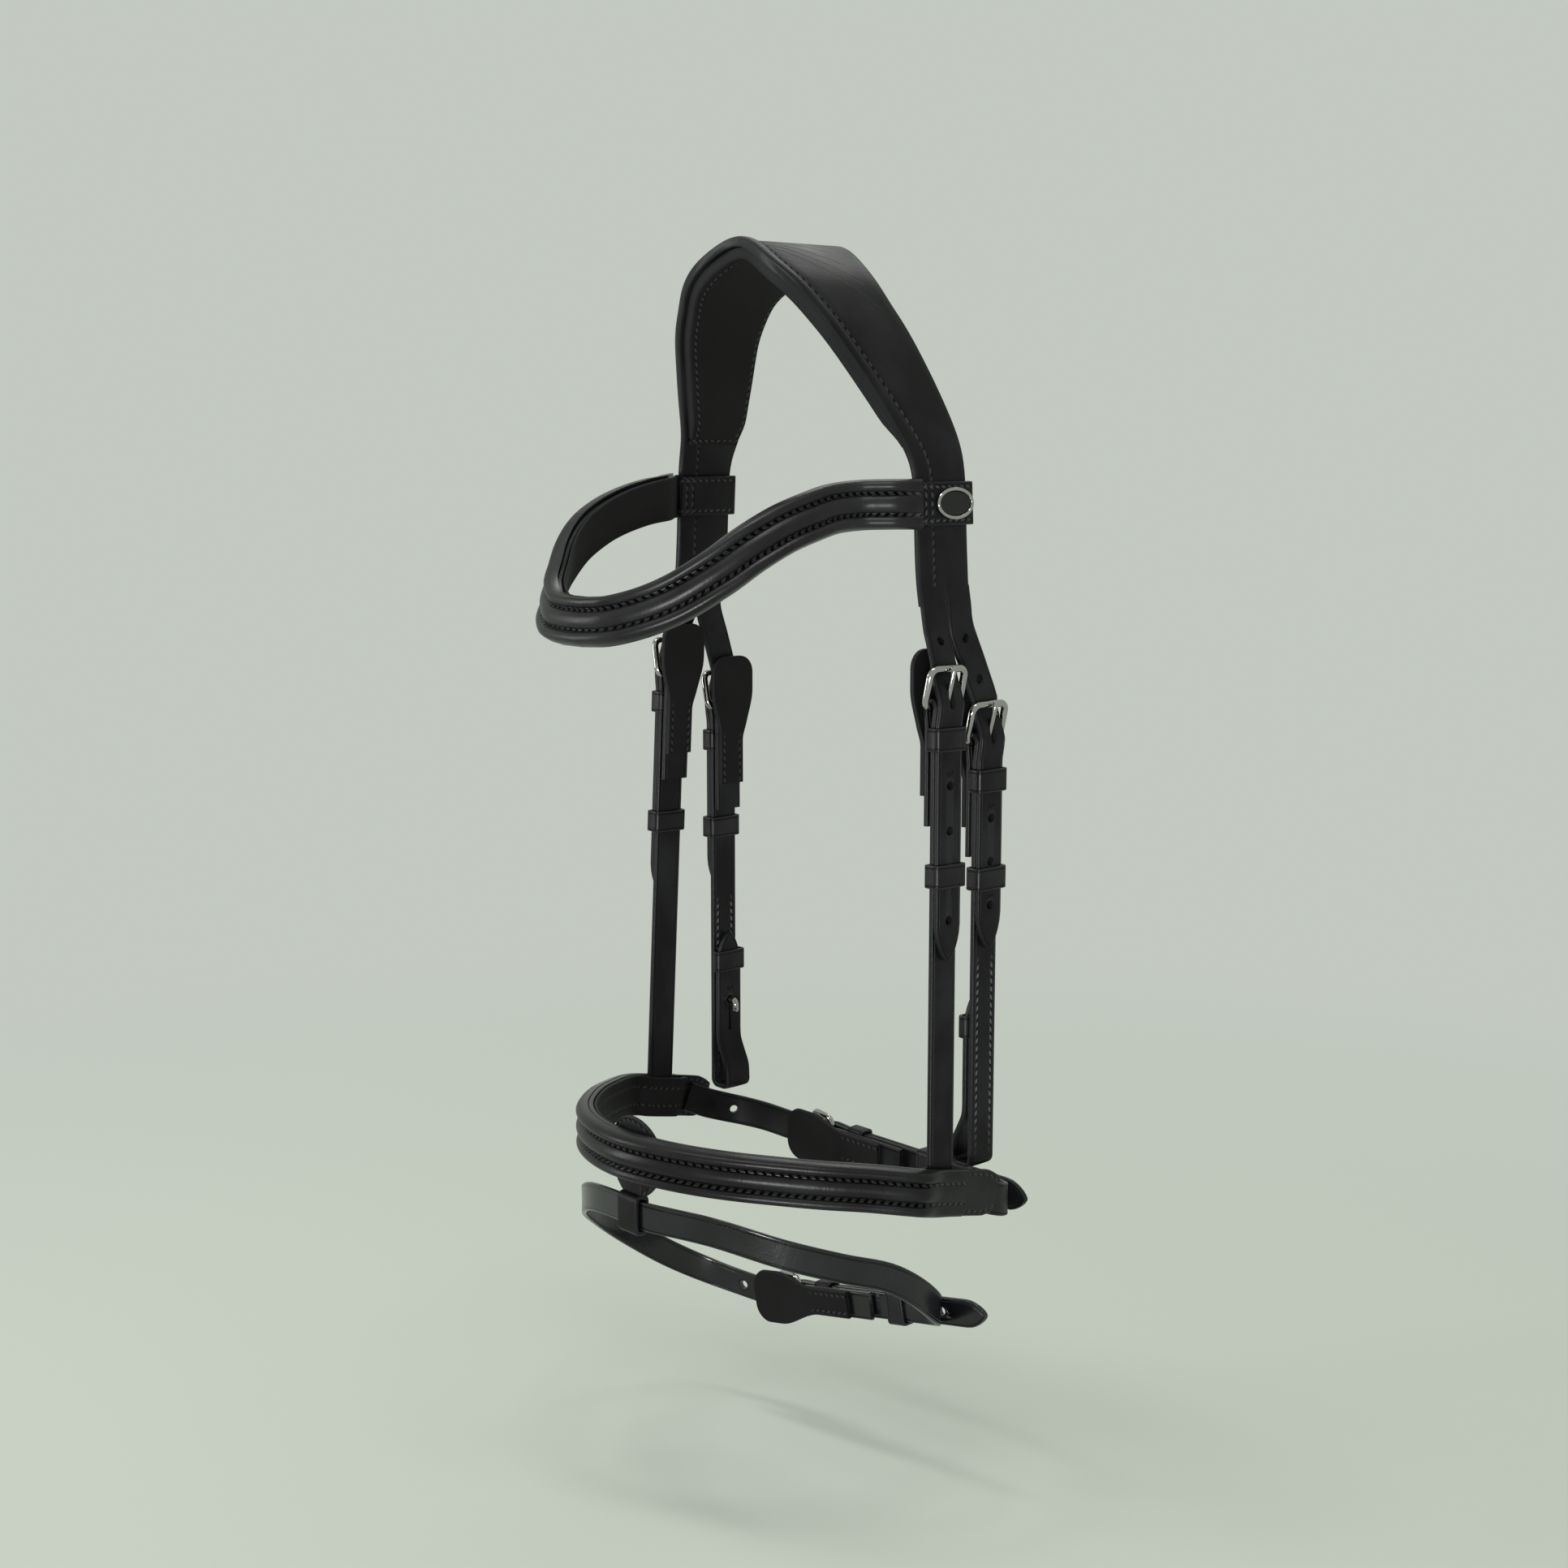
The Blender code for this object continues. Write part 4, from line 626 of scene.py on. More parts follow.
def slot_cutter(station):
    """Clears the tongue's eye through the turn of the strap."""
    mesh = bmesh.new()
    bmesh.ops.create_cube(mesh, size=1.0)
    rim = BAR_TURN + PLY
    size = Matrix.Diagonal((SLOT_WIDTH, rim + SLOT_BELOW, 2 * rim, 1))
    matrix = own_matrix(station.across, station.up, station.out, station.at((rim - SLOT_BELOW) / 2))
    bmesh.ops.transform(mesh, matrix=matrix @ size, verts=mesh.verts)
    return mesh


print("a tongue's hole:", [round(1000 * size, 1) for size in TONGUE_HOLE], "mm")

# %% [markdown]
# ## Buckle, tongue, guard and keepers
# The frame is a round wire bent to a rectangle, whose outer bar stands proud so the billet
# can pass under it. The tongue is thinner wire, rolled into an eye round the bar. Behind the buckle a
# soft guard, narrow where it's sewn in and wide at its head, keeps the steel off the horse. The
# keepers are short leather bands, bent round a form and glued. The frame and the keepers are sweeps
# whose end is bridged to their start.

# %% Make the metal of a station
def rounded_rectangle(length, width, corner, steps):
    """Points up and across, round a rectangle with quarter circles at its corners."""
    points = []
    for quarter in range(4):
        up_sign = 1 if quarter in (0, 3) else -1
        across_sign = 1 if quarter < 2 else -1
        for step in range(steps + 1):
            angle = math.pi / 2 * (quarter + step / steps)
            up = up_sign * (length / 2 - corner) + corner * math.cos(angle)
            points.append((up, across_sign * (width / 2 - corner) + corner * math.sin(angle)))
    return points


def ring_frames(route, hint):
    """Frames round a closed route."""
    count = len(route)
    found = []
    for k, point in enumerate(route):
        along = (route[(k + 1) % count] - route[k - 1]).normalized()
        across = (hint - along * hint.dot(along)).normalized()
        found.append((point, across, across.cross(along)))
    return found


def make_buckle(name, station, body):
    width = station.width + 2 * (BUCKLE_PLAY + WIRE)
    route = []
    for up, across in rounded_rectangle(BUCKLE_LENGTH, width, BUCKLE_CORNER, 6):
        up += BUCKLE_LENGTH / 2
        route.append(station.at(up, CROSSBAR_RISE * up / BUCKLE_LENGTH, across))
    wire = round_bar(ring_frames(route, station.out), [WIRE] * len(route), closed=True)
    finish_piece(name + "_buckle_wire", wire, POLISHED_STEEL, body, [name + "_buckle"])


def make_tongue(name, station):
    """From the eye round the bar, up through the billet and over the crossbar."""
    node = name + "_tongue"
    route = []
    for step in range(19):
        angle = -math.radians(262) * step / 18
        route.append(station.at(BAR_TURN * math.cos(angle), BAR_TURN * math.sin(angle)))
    rest = BAR_TURN + TONGUE_RISE
    route.append(station.at(BUCKLE_LENGTH / 2, BAR_TURN + TONGUE_RISE / 2))
    route.append(station.at(BUCKLE_LENGTH - TONGUE, rest))
    route.append(station.at(BUCKLE_LENGTH + TONGUE / 2, rest))
    route.append(station.at(BUCKLE_LENGTH + TONGUE, rest - 0.1 * MM))
    stations = frames(route, across_hint=station.across)
    radii = [TONGUE] * (len(route) - 2) + [0.92 * TONGUE, 0.6 * TONGUE]
    prong = round_bar(stations, radii, 12)
    finish_piece(node + "_prong", prong, POLISHED_STEEL, node, [node])


print("from a buckle's bar to its crossbar:", round(1000 * BUCKLE_LENGTH), "mm")

# %% Make the guard of a station
def guard_half_width(up, narrow):
    """Half the guard's width: as wide as the strap at its foot, wide at its rounded head."""
    shoulder = GUARD_TOP - GUARD_CORNER
    widened = ramp((up + BUCKLE_LENGTH) / (shoulder - GUARD_CORNER + BUCKLE_LENGTH))
    half = narrow + (GUARD_HALF - narrow) * widened
    over = min(max(up - shoulder, 0) / GUARD_CORNER, 1)
    return half - GUARD_CORNER * (1 - math.sqrt(1 - over * over))


def make_guard(name, station, body):
    shoulder = GUARD_TOP - GUARD_CORNER
    ups = [-GUARD_FOOT] + [-BUCKLE_LENGTH + (shoulder + BUCKLE_LENGTH) * step / 16 for step in range(17)]
    ups += [shoulder + GUARD_CORNER * math.sin(math.pi / 2 * step / 10) for step in range(1, 11)]
    route = []
    for up in ups:
        step_back = ramp((up + 2 * TURN_CONVERGE) / TURN_CONVERGE)
        route.append(station.at(up, GUARD_FOOT_LEVEL + (GUARD_BAR_LEVEL - GUARD_FOOT_LEVEL) * step_back))
    stations = frames(route, across_hint=station.across)
    halves = [guard_half_width(up, station.width / 2) for up in ups]
    sewn = [1 - ramp((up + BUCKLE_LENGTH) / (6 * MM)) for up in ups]
    outline = strap_outline(GUARD_PLY, 1.0 * MM, half=12 * MM)
    guard = sweep(stations, outline, lambda k: halves[k], sewn_of=lambda k: sewn[k])
    piece = finish_piece(name + "_guard_pad", guard, GUARD_LEATHER, body, [name + "_guard"])


print("a guard's length:", round(1000 * (GUARD_TOP + GUARD_FOOT)), "mm")

# %% Make the keepers of a station, and dress it
def make_keeper(name, station, body, up, levels, clearance, inner_wall=KEEPER_WALL, outer_wall=KEEPER_WALL):
    """A band round everything between two levels. A wall that is tucked between plies is thinner."""
    low, high = levels[0] - clearance, levels[1] + clearance
    depth = high - low + (outer_wall + inner_wall) / 2
    width = station.width + 2 * clearance + KEEPER_WALL
    route = []
    thick = []
    for out, across in rounded_rectangle(depth, width, 1.5 * MM, 4):
        level = (high + low) / 2 + (outer_wall - inner_wall) / 4 + out
        route.append(station.at(up, level, across))
        off = (level - (low + high) / 2) / (high - low) * 2
        thinner = (1 - inner_wall / KEEPER_WALL) * ramp(-off) + (1 - outer_wall / KEEPER_WALL) * ramp(off)
        thick.append(1 - thinner)
    half = KEEPER_HEIGHT / 2
    outline = strap_outline(KEEPER_WALL * 0.98, 0.55 * MM, half=half)
    ring = ring_frames(route, station.up)
    mesh = sweep(ring, lambda k: [(a, o * thick[k]) for a, o in outline], lambda k: half, closed=True)
    finish_piece(name + "_band", mesh, KEEPER_LEATHER, body, [name])


def dress_station(name, station, body):
    """Everything at a station but the two straps."""
    make_buckle(name, station, body)
    make_tongue(name, station)
    make_guard(name, station, body)
    top = BILLET_LEVEL + PLY / 2
    levels = (KEEPER_TUCKED_WALL / 2 + GAP, top)
    make_keeper(name + "_fixed_keeper", station, body, -station.fixed_drop, levels, GAP, KEEPER_TUCKED_WALL)
    sliding = name + "_sliding_keeper"
    levels = (MAIN_LEVEL - PLY / 2, top)
    make_keeper(sliding, station, sliding, -station.sliding_drop, levels, SLIDING_CLEARANCE)


KEEPER_LEATHER = leather("keeper leather", BLACK, "#1f1f21", 0.36, 0.04 * MM, creases=(1.3 * MM,), shine=0.2)
print("a keeper's height:", round(1000 * KEEPER_HEIGHT), "mm")

# %% [markdown]
# ## The headpiece
# The headpiece is the widest piece: one arch of thick leather over the poll, cut in at the ears,
# with a soft pad under it, a piped roll along its front edge and a stitched groove behind the roll. At
# each end it narrows to a neck and goes on as two billets side by side. The arch's outline changes
# from place to place, so the sweep is given a function in place of one list.

# %% The arch's frames
PAD_PLY = 6.2 * MM
PAD_INSET = 2.5 * MM
PAD_DROP = 86 * MM
CREST = PAD_PLY + GAP
ARCH_HALF_WIDTH = 87.5 * MM
ARCH_DROP = 164.5 * MM
CROWN_HALF = 34 * MM
CROWN_PLY = 3.5 * MM
# Out and down along the arch, as shares of its half width and its drop, then its front and rear
# edge as shares of the crown's half length
ARCH = (
    (0.07, 0.0, -0.91, 1.0), (0.25, -0.052, -1.0, 0.88), (0.40, -0.108, -0.92, 0.78),
    (0.50, -0.171, -0.78, 0.79), (0.60, -0.241, -0.64, 0.85), (0.70, -0.343, -0.40, 0.97),
    (0.79, -0.440, -0.18, 1.06), (0.87, -0.536, 0.03, 1.13), (0.94, -0.623, 0.13, 1.08),
    (0.955, -0.769, 0.13, 1.08), (0.97, -0.915, 0.13, 1.08), (1.0, -1.0, 0.12, 1.08),
)


def eased(points, rounds):
    """Each point moves towards the middle of its neighbours, which takes the corners off a route."""
    for _ in range(rounds):
        inner = [(a + b * 2 + c) / 4 for a, b, c in zip(points, points[1:], points[2:])]
        points = [points[0]] + inner + [points[-1]]
    return points


def arch_stations(steps):
    """Frames over the arch from right to left, each with its front and rear edge."""
    places = [Vector((out * ARCH_HALF_WIDTH, 0, CREST + down * ARCH_DROP)) for out, down, _, _ in ARCH]
    edges = [Vector((front * CROWN_HALF, rear * CROWN_HALF, 0)) for _, _, front, rear in ARCH]
    places = [Vector((-place.x, 0, place.z)) for place in reversed(places)] + places
    route = eased(smooth_route(places, steps), 6)
    edges = eased(smooth_route(list(reversed(edges)) + edges, steps), 6)
    found = []
    for point, across, out in frames(route, across_hint=BACKWARDS):
        facing = out if out.z > 0 or out.x * point.x > 0 else -out
        found.append((point, across, facing))
    return found, edges


ARCH_STATIONS, ARCH_EDGES = arch_stations(5)
print("places over the arch:", len(ARCH_STATIONS))

# %% Make the arch
ROLL_WIDTH = 8 * MM
ROLL_HEIGHT = 1.8 * MM
GROOVE_DEPTH = 0.45 * MM
CORNER = 0.9 * MM
BEVEL = 0.25 * MM


def crown_outline(k):
    """A face with a rounded rear edge, a groove for the stitches, and the roll at the front."""
    front, rear = ARCH_EDGES[k].x, ARCH_EDGES[k].y
    height = ARCH_STATIONS[k][0].z
    fade = ramp((height + PAD_DROP) / CROWN_HALF)
    top = CROWN_PLY * (0.78 + 0.22 * ramp((height - CREST + ARCH_DROP) / (20 * MM)))
    points = [(rear - CORNER, 0), (rear - BEVEL, BEVEL), (rear, CORNER), (rear, top - CORNER)]
    points += [(rear - BEVEL, top - BEVEL), (rear - CORNER, top)]
    flat = front + ROLL_WIDTH + 2.2 * MM
    points += [(rear - CORNER + (flat - rear + CORNER) * step / 9, top) for step in range(1, 10)]
    points.append((front + ROLL_WIDTH + 1.2 * MM, top - BEVEL * fade))
    points.append((front + ROLL_WIDTH, top - GROOVE_DEPTH * fade))
    for step in range(1, 9):
        angle = math.pi * step / 9
        share = (1 + math.cos(angle)) / 2
        rise = ROLL_HEIGHT * math.sin(angle) ** 0.8 - GROOVE_DEPTH * share
        points.append((front + ROLL_WIDTH * share, top + rise * fade))
    return points + [(front, top - CORNER), (front, 0.8 * MM), (front + BEVEL, BEVEL), (front + 0.8 * MM, 0)]


CROWN_LEATHER = leather(
    "rolled headpiece leather", BLACK, "#1b1b1d", 0.40, 0.05 * MM, rows=(ROLL_WIDTH + 1.6 * MM,),
    swoops_from=lengths_along([row[0] for row in ARCH_STATIONS])[-1] / 2,
)
crown = sweep(ARCH_STATIONS, crown_outline, one_edge=True)
finish_piece("headpiece_arch", crown, CROWN_LEATHER, "bridle", ["headpiece"])
print("arch spans", round(2000 * ARCH_HALF_WIDTH), "mm")

# %% Make the pad under the arch
def pad_outline(k):
    """A flat top and rounded edges below it, thinner towards the pad's two ends."""
    front, rear = PAD_EDGES[k].x + PAD_INSET, PAD_EDGES[k].y - PAD_INSET
    from_end = min(PAD_REACHED[k], PAD_REACHED[-1] - PAD_REACHED[k])
    corner = PAD_PLY * (0.35 + 0.65 * ramp(from_end / (16 * MM))) / 2
    middle = -GAP - corner
    arc = [math.pi / 2 * step / 6 for step in range(7)]
    rounded = [(corner * (1 - math.cos(angle)), middle - corner * math.sin(angle)) for angle in arc]
    points = [(front, -GAP)] + [(front + a, o) for a, o in rounded]
    for step in range(1, 6):
        points.append((front + corner + (rear - front - 2 * corner) * step / 6, middle - corner))
    points += [(rear - a, o) for a, o in reversed(rounded)]
    return points + [(rear, -GAP), ((front + rear) / 2, -GAP)]


PADDED = [k for k, row in enumerate(ARCH_STATIONS) if row[0].z > -PAD_DROP]
PAD_STATIONS = [ARCH_STATIONS[k] for k in PADDED]
PAD_EDGES = [ARCH_EDGES[k] for k in PADDED]
PAD_REACHED = lengths_along([row[0] for row in PAD_STATIONS])
PAD_LEATHER = leather(
    "matt pad leather", "#0c0c0c", "#131313", 0.66, 0.09 * MM, rows=(3.2 * MM,),
    cross=(PAD_INSET, PAD_REACHED[-1] - PAD_INSET), thread_tone="#303133",
)
pad_mesh = sweep(PAD_STATIONS, pad_outline)
pad = finish_piece("headpiece_pad", pad_mesh, PAD_LEATHER, "bridle", ["headpiece_padding"])
print("pad length:", round(1000 * PAD_REACHED[-1]), "mm")

# %% The noseband's line and the other levels
# Out, back and down along the noseband's left half, as shares of its half width, length and fall
NOSE_SHARES = (
    (0.06, -1.0, 0.0), (0.20, -0.97, 0.01), (0.35, -0.905, 0.04), (0.50, -0.80, 0.09), (0.64, -0.66, 0.16),
    (0.77, -0.50, 0.25), (0.875, -0.33, 0.35), (0.96, -0.185, 0.46), (0.999, -0.06, 0.58), (1.0, 0.10, 0.72),
    (1.0, 0.26, 0.87), (1.0, 0.39, 1.0),
)
NOSE_HALF_WIDTH = 109.5 * MM
NOSE_LENGTH = 102 * MM
NOSE_FALL = 24 * MM
NOSE_LEVEL = -417 * MM
NOSE_PLY = 2.4 * MM
NOSE_LINING = 1.8 * MM
NOSE_HEIGHT = 22.5 * MM
HANGER_REACH = 118 * MM
HANGER_BACK = 4 * MM
CHEEK_REACH = 99 * MM
CHIN_REACH = 135 * MM
CHIN_FRONT = 24 * MM
CHIN_BACK = 66 * MM
CHIN_LEVEL = -453 * MM
FLASH_REACH = 127 * MM
FLASH_HALF_WIDTH = 90 * MM
FLASH_LENGTH = 127 * MM
FLASH_FALL = 86 * MM
FLASH_FRONT = -97 * MM
FLASH_LEVEL = -447 * MM


def nose_stations(steps):
    """Frames round the noseband on the outer face of its base, from the left end to the right."""
    left = []
    for out, back, down in NOSE_SHARES:
        left.append(Vector((out * NOSE_HALF_WIDTH, back * NOSE_LENGTH, NOSE_LEVEL - down * NOSE_FALL)))
    right = [Vector((-place.x, place.y, place.z)) for place in left]
    return frames(smooth_route(left[::-1] + right, steps), across_hint=UP)


def nose_at(back):
    """The point on the noseband's left half that lies this far back."""
    row = [point for point, across, out in nose_stations(4) if point.x > 0]
    return min(row, key=lambda point: abs(point.y - back))


print("noseband's front:", [round(1000 * v) for v in nose_at(-NOSE_LENGTH)])

# %% Where the stations stand
def hanger_station(side):
    """The hanger's foot is sewn in between the noseband's base and its lining."""
    seat = nose_at(HANGER_BACK)
    inwards = NOSE_PLY + 0.5 * MM + PLY / 2 + MAIN_LEVEL
    foot = Vector((side * (seat.x - inwards), HANGER_BACK, seat.z + NOSE_HEIGHT / 2 - 15 * MM))
    bar = Vector((side * 97 * MM, 10.5 * MM, -204 * MM))
    return Station(bar, bar - foot, -BACKWARDS * side, fixed_drop=14.5 * MM, sliding_drop=78 * MM)


def cheek_station(side):
    bar = Vector((side * 93.8 * MM, 42 * MM, -223 * MM))
    return Station(bar, UP * 207 * MM, -BACKWARDS * side, fixed_drop=18 * MM, sliding_drop=65 * MM)


def flash_place(shares):
    """A point of the flash's ring from shares of its half width, its length and its fall."""
    out, back, down = shares
    y, z = back * FLASH_LENGTH + FLASH_FRONT, down * FLASH_FALL + FLASH_LEVEL
    return Vector((out * FLASH_HALF_WIDTH, y, z))


HANGERS = [hanger_station(side) for name, side in SIDES]
CHEEKS = [cheek_station(side) for name, side in SIDES]
CHIN = Station(
    Vector((-33 * MM, CHIN_BACK - MAIN_LEVEL, CHIN_LEVEL)), -LEFTWARDS, UP,
    fixed_drop=18 * MM, sliding_drop=70 * MM,
)
FLASH = Station(
    flash_place((-0.2, 0.98, -0.93)), Vector((-0.981, -0.031, -0.188)), UP,
    fixed_drop=18 * MM, sliding_drop=70 * MM, width=FLASH_WIDTH,
)
print("left hanger's bar:", [round(1000 * v, 1) for v in HANGERS[0].bar])

# %% Make the four billets
def billet_stations(station, start_back, side, reach):
    """Frames from inside the arch's end down to the billet's tip."""
    slope = Vector((-side * 0.03 * ARCH_HALF_WIDTH, 0, 0.085 * ARCH_DROP)).normalized()
    end = Vector((side * (ARCH_HALF_WIDTH + CROWN_PLY / 2), start_back, CREST - ARCH_DROP))
    below = end - slope * 12 * MM
    buckled = billet_route(station, reach)
    upper = smooth_route([end + slope * 9 * MM, end, below, (below + buckled[0]) / 2, buckled[0]], 5)
    return frames(upper[:-1] + buckled, out_hint=station.out)


STRAP_OUTLINE = strap_outline(PLY, 0.7 * MM, crown=0.15 * MM)


def make_billet(name, stations, cutters, stands_for=(), tip=TIP_LENGTH):
    reached = lengths_along([row[0] for row in stations])
    mesh = sweep(
        stations, STRAP_OUTLINE, lambda k: billet_half_width(reached[-1] - reached[k], STRAP_WIDTH, tip),
    )
    cut(finish_piece(name, mesh, STRAP_LEATHER, "bridle", stands_for), cutters)


first_back = ARCH[-1][2] * CROWN_HALF + EDGE + STRAP_WIDTH / 2
for (name, side), hanger, cheek in zip(SIDES, HANGERS, CHEEKS):
    for kind, station, back, reach, spares in (
        ("hanger", hanger, first_back, HANGER_REACH, 1),
        ("cheek", cheek, first_back + STRAP_WIDTH + GAP, CHEEK_REACH, 2),
    ):
        down = billet_stations(station, back, side, reach)
        buckled = lengths_along([row[0] for row in down])[-len(billet_route(station, reach))]
        # The spare holes above the buckle are punched only part of the way in
        places = [buckled - 11 * MM - number * HOLE_PITCH for number in range(spares)]
        spare_holes = [hole_at(down, place, PLY / 4) for place in places]
        make_billet(f"{name}_{kind}_billet", down, billet_cutters(station, reach) + spare_holes)
print("billets made:", 2 * len(SIDES))

# %% [markdown]
# ## The straps below the buckles
# The hanger carries the noseband. It turns round its bar, runs down the cheek and is
# sewn in behind the noseband. The cheekpiece carries the bit. It turns round its bar, runs down, bends
# round to make a loop for the bit, and comes back up behind itself to hook on a small steel stud. Each
# is one strap on one route.

# %% Make the hangers
def make_hanger(name, station):
    foot = [station.at(station.foot, MAIN_LEVEL)]
    stations = frames(foot + turn_route(station), across_hint=station.across)
    mesh = sweep(stations, STRAP_OUTLINE, lambda k: STRAP_WIDTH / 2)
    piece = finish_piece(name + "_turned", mesh, STRAP_LEATHER, "bridle", [name + "_strap"])
    cut(piece, [slot_cutter(station)])


for (name, side), station in zip(SIDES, HANGERS):
    make_hanger(name + "_hanger", station)
    dress_station(name + "_hanger", station, "bridle")
print("hangers run", round(-1000 * HANGERS[0].foot), "mm below their bars")

# %% The bit loop's route
RETURN_LEVEL = MAIN_LEVEL - PLY - KEEPER_TUCKED_WALL - 2 * GAP
BIT_OPENING = 9 * MM
BIT_SEAT = 5 * MM
BIT_WAIST = 22 * MM
BIT_STUD_RISE = 47 * MM
BIT_KEEPER_RISE = 69 * MM
BIT_TIP_RISE = 84 * MM
SLIT_LENGTH = 17 * MM
SLIT_WIDTH = 2 * MM


def bit_loop_route(station):
    """Down the outer ply, round the bit's seat, and back up inside to the tip."""
    foot = station.foot
    inner = MAIN_LEVEL - BIT_OPENING - PLY
    corner = (MAIN_LEVEL - inner - BIT_SEAT) / 2
    route = []
    for start, centre in ((0, MAIN_LEVEL - corner), (1, inner + corner)):
        for step in range(9):
            angle = math.pi / 2 * (start + step / 8)
            route.append(station.at(foot + corner * (1 - math.sin(angle)), centre + corner * math.cos(angle)))
    rising = [
        route[-1],
        station.at(foot + 0.5 * BIT_WAIST, inner + corner / 5),
        station.at(foot + 0.8 * BIT_WAIST, (inner + RETURN_LEVEL) / 2),
        station.at(foot + 1.1 * BIT_WAIST, RETURN_LEVEL - corner / 5),
        station.at(foot + 1.35 * BIT_WAIST, RETURN_LEVEL),
        station.at(foot + 1.6 * BIT_WAIST, RETURN_LEVEL),
    ]
    tip = [station.at(foot + BIT_TIP_RISE - TIP_LENGTH * share, RETURN_LEVEL) for share in TIP_SHARES]
    return route + smooth_route(rising, 4)[1:] + tip


print("a bit loop opens", round(1000 * BIT_OPENING), "mm")

# %% Make the cheekpieces with their bit loops
def make_cheekpiece(name, station):
    turn = list(reversed(turn_route(station)))
    straight = [station.at(station.foot + rise * MM, MAIN_LEVEL) for rise in (140, 104, 98, 92, 60, 30)]
    route = turn + straight + bit_loop_route(station)
    stations = frames(route, across_hint=station.across)
    reached = lengths_along(route)
    doubled = range(len(turn) + 2, len(turn) + len(straight))
    sewn = [1.0 if k in doubled else 0.0 for k in range(len(route))]
    mesh = sweep(
        stations, STRAP_OUTLINE, lambda k: billet_half_width(reached[-1] - reached[k], STRAP_WIDTH),
        sewn_of=lambda k: sewn[k],
    )
    strap = finish_piece(name + "_turned", mesh, CHEEK_LEATHER, "bridle", [name + "_strap"])
    rise = station.foot + BIT_STUD_RISE
    low, high = RETURN_LEVEL - PLY, RETURN_LEVEL + PLY / 2 + GAP / 2
    slit = oval_cutter(station, rise - SLIT_LENGTH / 2, SLIT_LENGTH, SLIT_WIDTH, low, high)
    hole = oval_cutter(station, rise, HOLE_DIAMETER, HOLE_DIAMETER, low, high)
    cut(strap, [slot_cutter(station), slit, hole])
    keeper, up = name + "_bit_keeper", station.foot + BIT_KEEPER_RISE
    levels = (RETURN_LEVEL - PLY / 2, RETURN_LEVEL + PLY / 2)
    make_keeper(keeper, station, "bridle", up, levels, GAP, outer_wall=KEEPER_TUCKED_WALL)


CHEEK_LEATHER = leather(
    "sewn cheekpiece leather", BLACK, "#1d1d1f", 0.40, 0.05 * MM, creases=(CREASE_IN,), rows=(3.2 * MM,),
    thread_tone="#505254",
)
for (name, side), station in zip(SIDES, CHEEKS):
    make_cheekpiece(name + "_cheek", station)
    dress_station(name + "_cheek", station, "bridle")
print("cheekpieces end at", round(1000 * (CHEEKS[0].bar.z + CHEEKS[0].foot)), "mm")

# %% Make the hook studs
def make_bit_stud(name, station):
    """From inside the strap out through the return's hole, and bent down over it."""
    up = station.foot + BIT_STUD_RISE
    root = MAIN_LEVEL - PLY / 2 - GAP
    reach = RETURN_LEVEL - PLY / 2 - 4.5 * MM
    bend = 2.25 * MM
    route = [station.at(up, root), station.at(up, reach + bend)]
    for step in range(1, 9):
        angle = math.pi / 2 * step / 8
        route.append(station.at(up - bend + bend * math.cos(angle), reach + bend - bend * math.sin(angle)))
    route.append(station.at(up - 5.4 * MM, reach))
    route.append(station.at(up - 6 * MM, reach))
    stations = frames(route, across_hint=station.across)
    hook = round_bar(stations, [WIRE] * (len(route) - 1) + [0.6 * WIRE], 14)
    finish_piece(name + "_bit_hook", hook, POLISHED_STEEL, "bridle", [name + "_bit_stud"])


for (name, side), station in zip(SIDES, CHEEKS):
    make_bit_stud(name + "_cheek", station)
print("studs hooked:", len(SIDES))

# %% [markdown]
# ## The padded noseband
# The noseband is a flat strap with a padded front. A soft filler is glued on, covered with thin
# leather and sewn down in two rows, which pull it into three rolls. A lining covers the back. A plain
# curve would give a tube; here the outline itself has three crowned rolls and two sunk grooves, and
# the stitches of the finish fall in the grooves.

# %% The rolls and the plies of a padded band
# Edges and grooves down the band, as shares of its height
GROOVES = (0.0, 0.29, 0.71, 1.0)
PAD_HEIGHT = 6 * MM
PAD_TAPER = 14 * MM


def rolled_outline(height, swell):
    """Three padded rolls between two grooves, on a flat back."""
    half = height / 2
    points = [(-half, GAP), (-half / 2, GAP), (0, GAP), (half / 2, GAP), (half, GAP)]
    for low, high in zip(GROOVES, GROOVES[1:]):
        for step in range(9):
            share = step / 9
            valley = 0.5
            if low == 0.0 and step < 2:
                valley = 0.10 + 0.12 * step
            if high == 1.0 and step > 7:
                valley = 0.22
            level = valley + (1 - valley) * math.sin(math.pi * share) ** 0.75
            place = half - height * (low + (high - low) * share)
            points.append((place, GAP + PAD_HEIGHT * swell * level))
    return points + [(-half, GAP + PAD_HEIGHT * swell * 0.12)]


def make_band_padding(name, stations, height, material, body, thin_end=0.0):
    """The rolls in front of a band, lower towards both ends and lowest over the thin ends."""
    reached = lengths_along([row[0] for row in stations])

    def outline(k):
        from_end = min(reached[k], reached[-1] - reached[k]) - thin_end
        return rolled_outline(height, 0.2 + 0.8 * ramp(from_end / PAD_TAPER))

    mesh = sweep(stations, outline)
    node = name + "_padding"
    piece = finish_piece(name + "_rolls", mesh, material, body, [node], sharp=60)


def flat_outline(half, ply, middle, across_share=1.0):
    """A flat strap's outline at a level, drawn in to a share of its width."""
    return [(a * half * across_share, o + middle) for a, o in strap_outline(ply, EDGE, half=half)]


print("points in the rolls' outline:", len(rolled_outline(NOSE_HEIGHT, 1.0)))

# %% Make the noseband's strap and rolls
NOSE_PADDED = leather(
    "padded noseband leather", BLACK, "#1f1f21", 0.36, 0.045 * MM,
    rows=(GROOVES[1] * NOSE_HEIGHT,), shine=0.26,
)
nose = nose_stations(5)
nose_reached = lengths_along([row[0] for row in nose])


